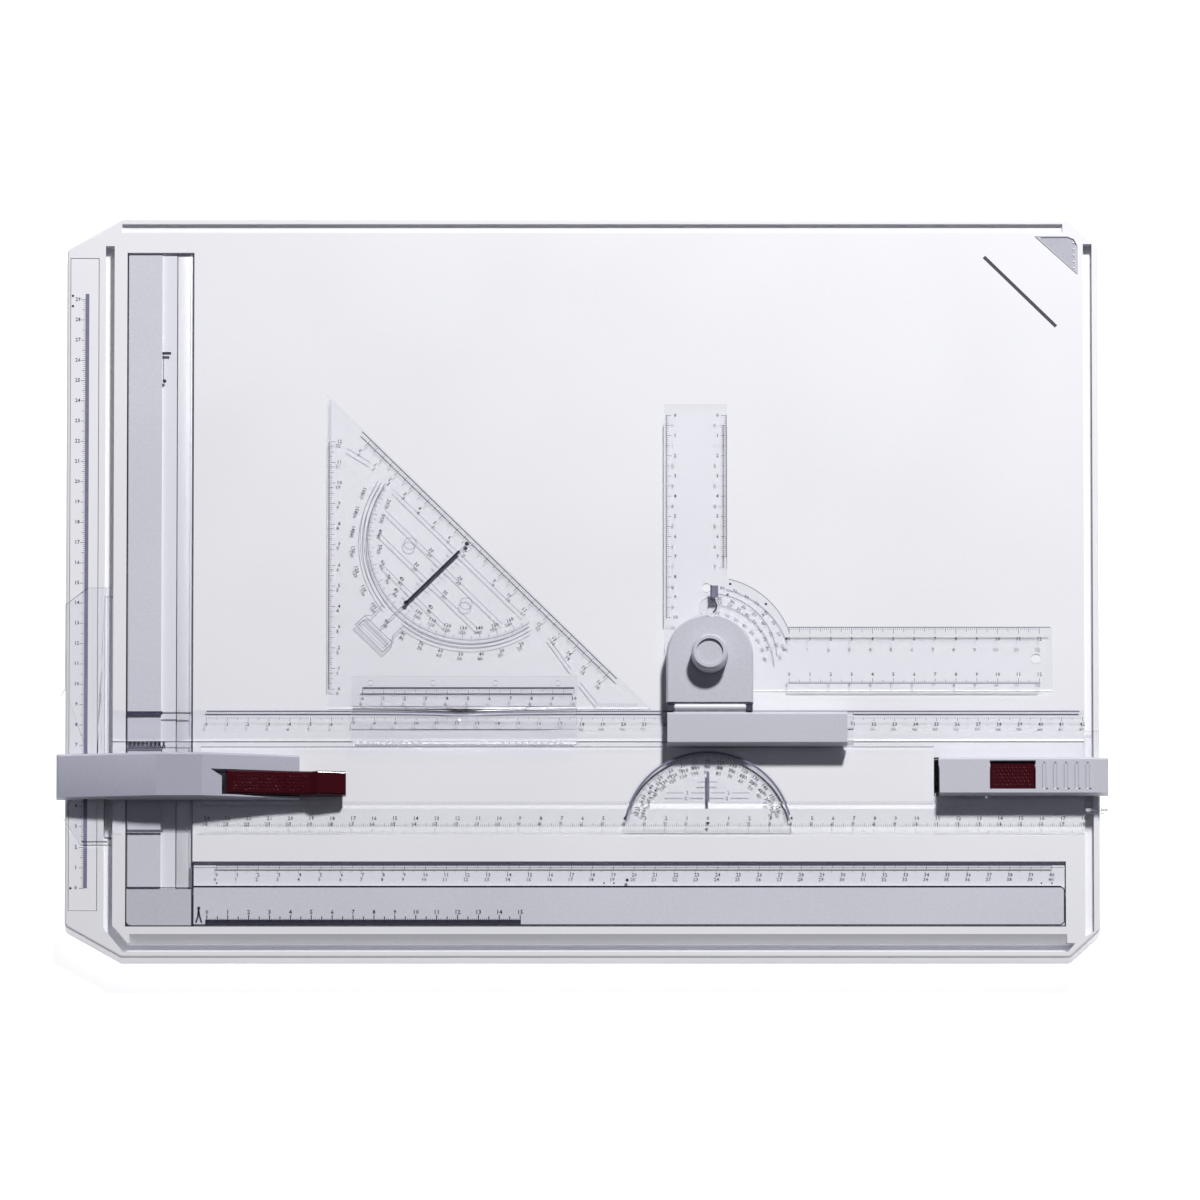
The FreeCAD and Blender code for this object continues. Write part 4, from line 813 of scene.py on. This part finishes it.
class DRAWBOARD_OT_print_swivel(bpy.types.Operator):
    """Print the scales and the quadrant of the swivel ruler"""

    bl_idname = "drawboard.print_swivel"
    bl_label = "Print the swivel ruler"

    def execute(self, context):
        sizes = context.scene.board_sizes
        low, high = box_mm("angle_ruler")
        pivot = centre_of("pivot_bush").xy
        pen = sizes.pen / MM
        numeral = sizes.numeral / MM
        ink = Print(high.z, sizes.ink)
        start_x = pivot.x + 38.1
        bottom = pivot.y - 12.0
        top = pivot.y + 15.3
        ink.ruler((start_x, bottom), (1, 0), (0, 1), 12, ticks=(2.3, 1.6, 1.0), pen=pen)
        ink.numbers((start_x, bottom + 4.2), (1, 0), range(13), numeral)
        ink.ruler((start_x, top), (1, 0), (0, -1), 12, ticks=(3.0, 2.1, 1.2), pen=pen)
        ink.numbers((start_x, top - 5.6), (1, 0), range(13), numeral)
        top_y = high.y - 5.6
        left = low.x + 1.3
        ink.ruler((left, top_y), (0, -1), (1, 0), 10, ticks=(2.2, 1.6, 1.0), pen=pen)
        ink.numbers((left + 4.1, top_y), (0, -1), range(11), numeral)
        right = pivot.x + 7.9
        ink.ruler((right, top_y), (0, -1), (-1, 0), 7, ticks=(2.2, 1.6, 1.0), pen=pen)
        ink.numbers((right - 4.1, top_y), (0, -1), range(8), numeral)
        for degree in (15, 45, 75):
            ink.dot(pivot + towards(degree) * QUADRANT_DOTS, 0.62, 16)
        ink.finish("swivel_print", "angle_ruler")

        fine = Print(high.z, sizes.ink)
        fine.arc(pivot, QUADRANT_TICKS, 2, 84, 0.28)
        fine.arc(pivot, QUADRANT_LINE, 19, 77, 0.35)
        for degree in range(10, 81, 10):
            way = towards(degree)
            turn = degree - 90
            fine.word(degree, pivot + way * QUADRANT_OUTER_ROW, numeral * 0.95, turn)
            fine.word(90 - degree, pivot + way * QUADRANT_INNER_ROW, numeral * 0.95, turn)
        for degree in range(4, 85, 2):
            long = 1.6 if degree % 10 == 0 else 0.9
            fine.spoke(pivot, towards(degree), QUADRANT_TICKS, long, 0.16)
        fine.stroke((start_x - 0.4, bottom - 0.1), (start_x + 120.4, bottom - 0.1), 0.45)
        fine.stroke((start_x - 0.4, top + 0.2), (high.x - 1.0, top + 0.2), 0.4)
        fine.stroke((left - 0.2, top_y + 0.3), (left - 0.2, top_y - 100.3), 0.4)
        fine.stroke((right + 0.1, top_y + 0.3), (right + 0.1, top_y - 70.3), 0.4)
        fine.stroke((pivot.x + 2.6, pivot.y + 36.2), (pivot.x + 2.6, pivot.y + 30.2), 3.0)
        fine.finish("swivel_lines", "angle_ruler", "soft_ink")

        # The index mark printed on the ruler, and a painted shadow along the curved edge of the slot in
        # its catch.
        mark = Print(high.z, sizes.ink)
        mark.stroke((pivot.x + 0.7, pivot.y + 36.4), (pivot.x + 0.7, pivot.y + 29.8), 0.7)
        mark.finish("index_mark", "angle_ruler")
        catch = box_mm("index_catch")
        tip = (catch[0].x + catch[1].x) / 2
        catch_shadow = Print(catch[1].z, sizes.ink)
        back = catch[1].y
        catch_shadow.path([(tip + 0.2, back - 0.8), (tip + 2.4, back - 1.7), (tip + 3.3, back - 3.8),
                   (tip + 3.0, back - 6.0), (tip + 1.6, back - 7.6)], 0.8)
        catch_shadow.finish("index_catch_shadow", "index_catch")
        return {"FINISHED"}


# Radii of the set square's arcs and of its two rows of numerals, and the millimetre step
# along its long side.
SQUARE_ARC = 49.8
SQUARE_INNER_ROW = 44.0
SQUARE_OUTER_ROW = 57.0
LONG_SIDE_STEP = 1.013


class DRAWBOARD_OT_print_square(bpy.types.Operator):
    """Print the scales, the arcs and the parallel lines of the set square"""

    bl_idname = "drawboard.print_square"
    bl_label = "Print the set square"

    def execute(self, context):
        sizes = context.scene.board_sizes
        low, high = box_mm("set_square")
        level = top_at("set_square", low.x + 20, low.y + 50)
        pen = sizes.pen / MM
        numeral = sizes.numeral / MM
        ink = Print(level, sizes.ink)
        fine = Print(level, sizes.ink)
        left = low.x + 1.1
        base_y = low.y + 9.6
        ink.ruler((left, base_y), (0, 1), (1, 0), 12, pitch=SQUARE_PITCH, ticks=(2.9, 2.1, 1.3),
                  pen=pen)
        ink.numbers((left + 4.8, base_y + 0.1), (0, 1), range(13), numeral, pitch=SQUARE_PITCH)
        fine.stroke((left - 0.2, base_y), (left - 0.2, base_y + 12 * SQUARE_PITCH), 0.5)
        for index in range(20):
            fine.stroke((left, base_y + 123.6 + index), (left + 1.0, base_y + 123.6 + index), 0.15)
            fine.stroke((high.x - 26 + index, low.y + 0.8), (high.x - 26 + index, low.y + 2.6), 0.15)

        # The long side runs down to the right at 45 degrees.
        half = math.sqrt(0.5)
        down = Vector((half, -half))
        inward = Vector((-half, -half))
        middle = Vector((low.x + high.x, low.y + high.y)) / 2
        middle += down * 13.0
        ink.stroke(middle - down * 98 + inward * 1.2, middle + down * 75 + inward * 1.2, 0.4)
        long_start = middle - down * 92 + inward * 1.4
        for index in range(161):
            rank = 0 if index % 10 == 0 else 1 if index % 5 == 0 else 2
            foot = long_start + down * (index * LONG_SIDE_STEP)
            if rank < 2:
                ink.stroke(foot, foot + inward * (4.3, 3.0)[rank], pen)
            else:
                fine.stroke(foot, foot + inward * 1.6, pen * 0.6)
            if rank == 0 and index != 80:
                ink.word(index // 10, foot + inward * 7.1, numeral, -45)

        eye = Vector((low.x + 69.3, low.y + 83.6))
        ink.dot(eye + inward * 3.0, 1.05, 20)
        ink.stroke(eye + inward * 8.0, eye + inward * 44.0, 1.25)
        ink.dot(eye + inward * 44.3, 1.15, 20)
        fine.stroke(eye + inward * 3.0, eye + inward * 62.0, 0.25)
        across = math.degrees(math.atan2(inward.y, inward.x)) % 360
        for reach, first, last in ((SQUARE_ARC, -79, 79), (51.6, -78, -7), (53.4, -78, -6),
                                   (51.6, 7, 78), (53.4, 6, 78)):
            fine.arc(eye, reach, across + first, across + last, 0.26 if reach < 53 else 0.2)
        for step in range(-79, 80):
            way = Matrix.Rotation(math.radians(step), 2) @ inward
            tick = 3.0 if step % 10 == 0 else 2.1 if step % 5 == 0 else 1.2
            if step % 5 == 0:
                ink.spoke(eye, way, SQUARE_ARC, tick, pen * 0.8)
            else:
                fine.spoke(eye, way, SQUARE_ARC, tick, pen * 0.6)
        for step in range(-70, 71, 10):
            if step == 0:
                continue
            way = Matrix.Rotation(math.radians(step), 2) @ inward
            tilt = across + step + 90
            ink.word(90 + step, eye + way * SQUARE_INNER_ROW, numeral, tilt)
            ink.word(90 - step, eye + way * SQUARE_OUTER_ROW, numeral, tilt)
        for rung, reach in ((10, 44), (20, 40), (30, 33.6), (40, 21.2)):
            row = eye + inward * (rung - 1.0)
            fine.stroke(row - down * reach, row + down * reach, 0.2)
            for side in (-1, 1):
                if rung > 10:
                    ink.word(rung, row + down * side * 9.8 + inward * -1.6, numeral, -45)
                for part in (2.5, 5.0):
                    fine.stroke(row + inward * part + down * side * 1.5,
                                row + inward * part + down * side * (4.6 if part < 4 else 3.4), 0.16)

        # Outline of the cut-out gauge below the arcs.
        stem = eye + inward * 53.0
        for side in (-1, 1):
            fine.path([stem + down * side * 7.2, stem + inward * 7.5 + down * side * 7.2 * 0.98,
                       stem + inward * 9.5 + down * side * 9.6], 0.22)
        ink.word(90, stem + inward * 4.5, numeral, -45)
        bar = stem + inward * 13.0
        for grow, wide in ((0.0, 0.26), (1.3, 0.18)):
            corners = [bar + down * sx * (9.5 - grow) + inward * sy * (3.2 - grow)
                       for sx, sy in ((-1, -1), (1, -1), (1, 1), (-1, 1), (-1, -1))]
            fine.path(corners, wide)
        fine.stroke((low.x + 9.7, high.y - 27), (low.x + 20.7, high.y - 33.8), 0.25)
        fine.stroke((high.x - 49.4, low.y + 35.2), (high.x - 38.3, low.y + 19.4), 0.25)
        fine.stroke((high.x - 34.0, low.y + 13), (high.x - 25.8, low.y + 2.6), 0.25)
        for gate in ((low.x + 39.9, low.y + 81.6), (low.x + 66.8, low.y + 51.9)):
            fine.arc(Vector(gate), 3.0, 0, 357, 0.22)
        ink.finish("square_print", "set_square")
        fine.finish("square_lines", "set_square", "soft_ink")
        return {"FINISHED"}


class DRAWBOARD_OT_print_handle(bpy.types.Operator):
    """Print the handle's ruler"""

    bl_idname = "drawboard.print_handle"
    bl_label = "Print the handle"

    def execute(self, context):
        sizes = context.scene.board_sizes
        low, high = box_mm("square_handle")
        line_y = high.y - 5.9
        level = top_at("square_handle", low.x + 20, line_y)
        ink = Print(level, sizes.ink)
        start_x = low.x + 5.3
        ink.stroke((start_x, line_y), (start_x + 10 * HANDLE_PITCH, line_y), 0.75)
        ink.ruler((start_x, line_y), (1, 0), (0, -1), 10, pitch=HANDLE_PITCH,
                  ticks=(2.9, 2.1, 1.4), pen=sizes.pen / MM)
        ink.numbers(
            (start_x, line_y - 5.2), (1, 0), range(11), sizes.numeral / MM, pitch=HANDLE_PITCH
        )
        ink.finish("handle_print", "set_square")
        return {"FINISHED"}


# Rows of studs stand at the height of a triangle with a side of one; a stud is two steps high.
ROW_SHARE = 0.87
STUD_STEP = 0.16
STUD_SINK = 0.06


def stud_field(bm, node, low, high, pitch, radius):
    """Rows of low domed studs on a CAD node's top, every other row shifted."""
    rows = int((high[1] - low[1]) / (pitch * ROW_SHARE))
    count = int((high[0] - low[0]) / pitch)
    for row in range(rows + 1):
        shift = pitch / 2 if row % 2 else 0
        for index in range(count + (0 if row % 2 else 1)):
            x = low[0] + shift + index * pitch
            y = low[1] + row * pitch * ROW_SHARE
            z = top_at(node, x, y)
            shoulder, crown = radius * 0.8, radius * 0.35
            for start, end, base in ((radius, shoulder, 0.0), (shoulder, crown, STUD_STEP)):
                bmesh.ops.create_cone(
                    bm, cap_ends=True, segments=8, radius1=start, radius2=end, depth=STUD_STEP,
                    matrix=Matrix.Translation((x, y, z + base + STUD_SINK)),
                )


class DRAWBOARD_OT_grip_studs(bpy.types.Operator):
    """Stud the red stop lever and the red release button"""

    bl_idname = "drawboard.grip_studs"
    bl_label = "Add the grip studs"

    def execute(self, context):
        sizes = context.scene.board_sizes
        pitch, radius = sizes.stud_pitch / MM, sizes.stud / MM
        for node, body, margin in (
            ("stop_lever", "stop_lever", (4.0, 2.0, 18.0, 2.0)),
            ("release_button", "release_button", (1.9, 1.9, 1.9, 1.9)),
        ):
            low, high = box_mm(node)
            bm = bmesh.new()
            stud_field(bm, node, (low.x + margin[0], low.y + margin[1]),
                       (high.x - margin[2], high.y - margin[3]), pitch, radius)
            finish_piece(bm, node + "_studs", body, "red", smooth=50)
        return {"FINISHED"}


class DRAWBOARD_OT_head_marks(bpy.types.Operator):
    """Add the dots at the ends of the right head's grip ribs"""

    bl_idname = "drawboard.head_marks"
    bl_label = "Add the rib dots"

    def execute(self, context):
        sizes = context.scene.board_sizes
        low, high = box_mm("right_head_cover")
        level = top_at("right_head_cover", low.x + 6, centre_of("right_head_cover").y)
        dark = Print(level, sizes.ink)
        pale = Print(level, sizes.ink)
        button_right = box_mm("release_button")[1].x
        for index in range(5):
            x = button_right + 4.4 + index * 5.2
            dark.dot((x, high.y - 2.9), 0.45)
            dark.stroke((x - 0.9, high.y - 3.6), (x - 0.9, low.y + 2.2), 0.2)
            pale.dot((x, low.y + 2.0), 0.4)
        dark.finish("rib_dots_dark", "parallel_bar", "soft_ink")
        pale.finish("rib_dots_pale", "parallel_bar", "bead")
        return {"FINISHED"}


class DRAWBOARD_OT_badge(bpy.types.Operator):
    """Rib the corner badge and bead its edge"""

    bl_idname = "drawboard.badge"
    bl_label = "Dress the corner badge"

    def execute(self, context):
        sizes = context.scene.board_sizes
        low, high = box_mm("corner_badge")
        ribs = Print(high.z, sizes.ink)
        wide, deep = high.x - low.x, high.y - low.y
        for index in range(3, 15):
            share = index / 16
            ribs.stroke(
                (high.x - wide * share, high.y - 0.9), (high.x - 0.9, high.y - deep * share), 0.4
            )
        ribs.finish("badge_ribs", "board", "head_shade_and_rib_grey")
        edge = Print(high.z, sizes.ink)
        edge.path([(low.x + 2.4, high.y - 0.4), (high.x - 4.2, high.y - 0.4),
                   (high.x - 1.6, high.y - 1.5), (high.x - 0.4, high.y - 4.0)], 0.45)
        edge.finish("badge_edge", "board", "ink")
        beads = bmesh.new()
        for index in range(5):
            bmesh.ops.create_uvsphere(
                beads, u_segments=12, v_segments=7, radius=0.5,
                matrix=Matrix.Translation((high.x - 1.6, high.y - 3.0 - index * 3.1, high.z)),
            )
        finish_piece(beads, "badge_beads", "board", "bead", smooth=60)
        return {"FINISHED"}


class DRAWBOARD_OT_slit_seal(bpy.types.Operator):
    """Lay a dark strip in the paper slit as its painted shade"""

    bl_idname = "drawboard.slit_seal"
    bl_label = "Fill the paper slit"

    def execute(self, context):
        sizes = context.scene.board_sizes
        shade_strip = Print(SLIT_TOP, sizes.ink)
        shade_strip.stroke(SLIT_START, SLIT_END, SLIT_WIDE)
        shade_strip.finish("slit_seal", "board", "dark")
        return {"FINISHED"}


# The paper slit of the deck: the height of the dark strip painted as its shade, its two ends and its
# width.
SLIT_TOP = 15.7
SLIT_START = Vector((193.1, 163.6))
SLIT_END = Vector((227.9, 128.9))
SLIT_WIDE = 1.3


# The studio: half the floor's width and its drop below the feet, then the key lamp's
# distance, height angle, compass direction and disk, in metres.
FLOOR_HALF = 6
FLOOR_DROP = 0.0002
KEY_DISTANCE = 2.5
KEY_SLOPE = math.radians(47)
KEY_WAY = Vector((0.33, 0.95, 0.0))
KEY_DISK = 0.3

# The point on the deck that the camera looks at, and its sensor's width in millimetres.
CAMERA_AIM = Vector((0.0084, -0.0066, 0.016))
SENSOR = 36


class DRAWBOARD_OT_stage(bpy.types.Operator):
    """Set the floor, the lights and the camera"""

    bl_idname = "drawboard.stage"
    bl_label = "Set the stage"

    def execute(self, context):
        studio = context.scene.board_studio
        scene = context.scene
        scene.view_settings.view_transform = "Standard"

        bm = bmesh.new()
        bmesh.ops.create_grid(
            bm, x_segments=1, y_segments=1, size=FLOOR_HALF,
            matrix=Matrix.Translation((0, 0, -FLOOR_DROP)),
        )
        mesh = bpy.data.meshes.new("floor")
        bm.to_mesh(mesh)
        bm.free()
        floor = bpy.data.objects.new("floor", mesh)
        scene.collection.objects.link(floor)
        material, tree = new_material("studio_floor")
        shader = add_node(
            tree, "ShaderNodeBsdfPrincipled",
            inputs={"Base Color": (0.8, 0.8, 0.8, 1), "Roughness": 0.9,
                    "Emission Color": (1, 1, 1, 1), "Emission Strength": 0.85},
        )
        close_material(tree, shader.outputs["BSDF"])
        mesh.materials.append(material)

        world = bpy.data.worlds.new("studio")
        world.use_nodes = True
        sky = world.node_tree
        sky.nodes.clear()
        seen = add_node(sky, "ShaderNodeBackground", inputs={"Color": (1, 1, 1, 1), "Strength": 1.0})
        fill = add_node(
            sky, "ShaderNodeBackground",
            inputs={"Color": (*srgb("#ECEEFF"), 1), "Strength": studio.fill},
        )
        ray = add_node(sky, "ShaderNodeLightPath").outputs["Is Camera Ray"]
        mix = add_node(sky, "ShaderNodeMixShader",
                       inputs={0: ray, 1: fill.outputs[0], 2: seen.outputs[0]})
        add_node(sky, "ShaderNodeOutputWorld", inputs={"Surface": mix.outputs[0]})
        scene.world = world

        key = bpy.data.lights.new("key", "AREA")
        key.shape = "DISK"
        key.size = KEY_DISK
        key.energy = studio.key * math.pi * KEY_DISTANCE ** 2
        lamp = bpy.data.objects.new("key", key)
        key_way = KEY_WAY.normalized() * math.cos(KEY_SLOPE)
        key_way.z = math.sin(KEY_SLOPE)
        lamp.location = key_way * KEY_DISTANCE
        lamp.rotation_euler = key_way.to_track_quat("Z", "Y").to_euler()
        scene.collection.objects.link(lamp)

        camera_data = bpy.data.cameras.new("camera")
        camera_data.lens = studio.lens
        camera_data.sensor_width = SENSOR
        camera = bpy.data.objects.new("camera", camera_data)
        away = studio.width * studio.lens / SENSOR
        back = Vector((0, -math.cos(studio.elevation), math.sin(studio.elevation)))
        camera.location = CAMERA_AIM + back * away
        camera.rotation_euler = back.to_track_quat("Z", "Y").to_euler()
        camera_data.clip_start = 0.1
        camera_data.clip_end = 100
        scene.collection.objects.link(camera)
        scene.camera = camera
        return {"FINISHED"}


STEPS = (
    DRAWBOARD_OT_finish_frame,
    DRAWBOARD_OT_paper_ledges,
    DRAWBOARD_OT_print_margin,
    DRAWBOARD_OT_print_front_rail,
    DRAWBOARD_OT_print_left_rail,
    DRAWBOARD_OT_print_bar,
    DRAWBOARD_OT_print_dial,
    DRAWBOARD_OT_print_swivel,
    DRAWBOARD_OT_print_square,
    DRAWBOARD_OT_print_handle,
    DRAWBOARD_OT_grip_studs,
    DRAWBOARD_OT_head_marks,
    DRAWBOARD_OT_badge,
    DRAWBOARD_OT_slit_seal,
    DRAWBOARD_OT_stage,
)


class DRAWBOARD_PT_steps(bpy.types.Panel):
    """Lists the steps that build the board"""

    bl_idname = "DRAWBOARD_PT_steps"
    bl_label = "Drawing Board"
    bl_space_type = "VIEW_3D"
    bl_region_type = "UI"
    bl_category = "Drawing Board"

    def draw(self, context):
        for step in STEPS:
            self.layout.operator(step.bl_idname)
        for group in (context.scene.board_colours, context.scene.board_sizes,
                      context.scene.board_studio):
            box = self.layout.box()
            for name in group.__annotations__:
                box.prop(group, name)


CLASSES = (BoardColours, BoardSizes, BoardStudio, *STEPS, DRAWBOARD_PT_steps)


def register():
    """Register the classes and their settings."""
    for item in CLASSES:
        bpy.utils.register_class(item)
    bpy.types.Scene.board_colours = PointerProperty(type=BoardColours)
    bpy.types.Scene.board_sizes = PointerProperty(type=BoardSizes)
    bpy.types.Scene.board_studio = PointerProperty(type=BoardStudio)


def unregister():
    """Remove the settings and the classes."""
    del bpy.types.Scene.board_studio
    del bpy.types.Scene.board_sizes
    del bpy.types.Scene.board_colours
    for item in reversed(CLASSES):
        bpy.utils.unregister_class(item)


def main():
    """Build the board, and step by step."""
    register()
    for step in STEPS:
        group, name = step.bl_idname.split(".")
        getattr(getattr(bpy.ops, group), name)()


if __name__ == "__main__":
    main()
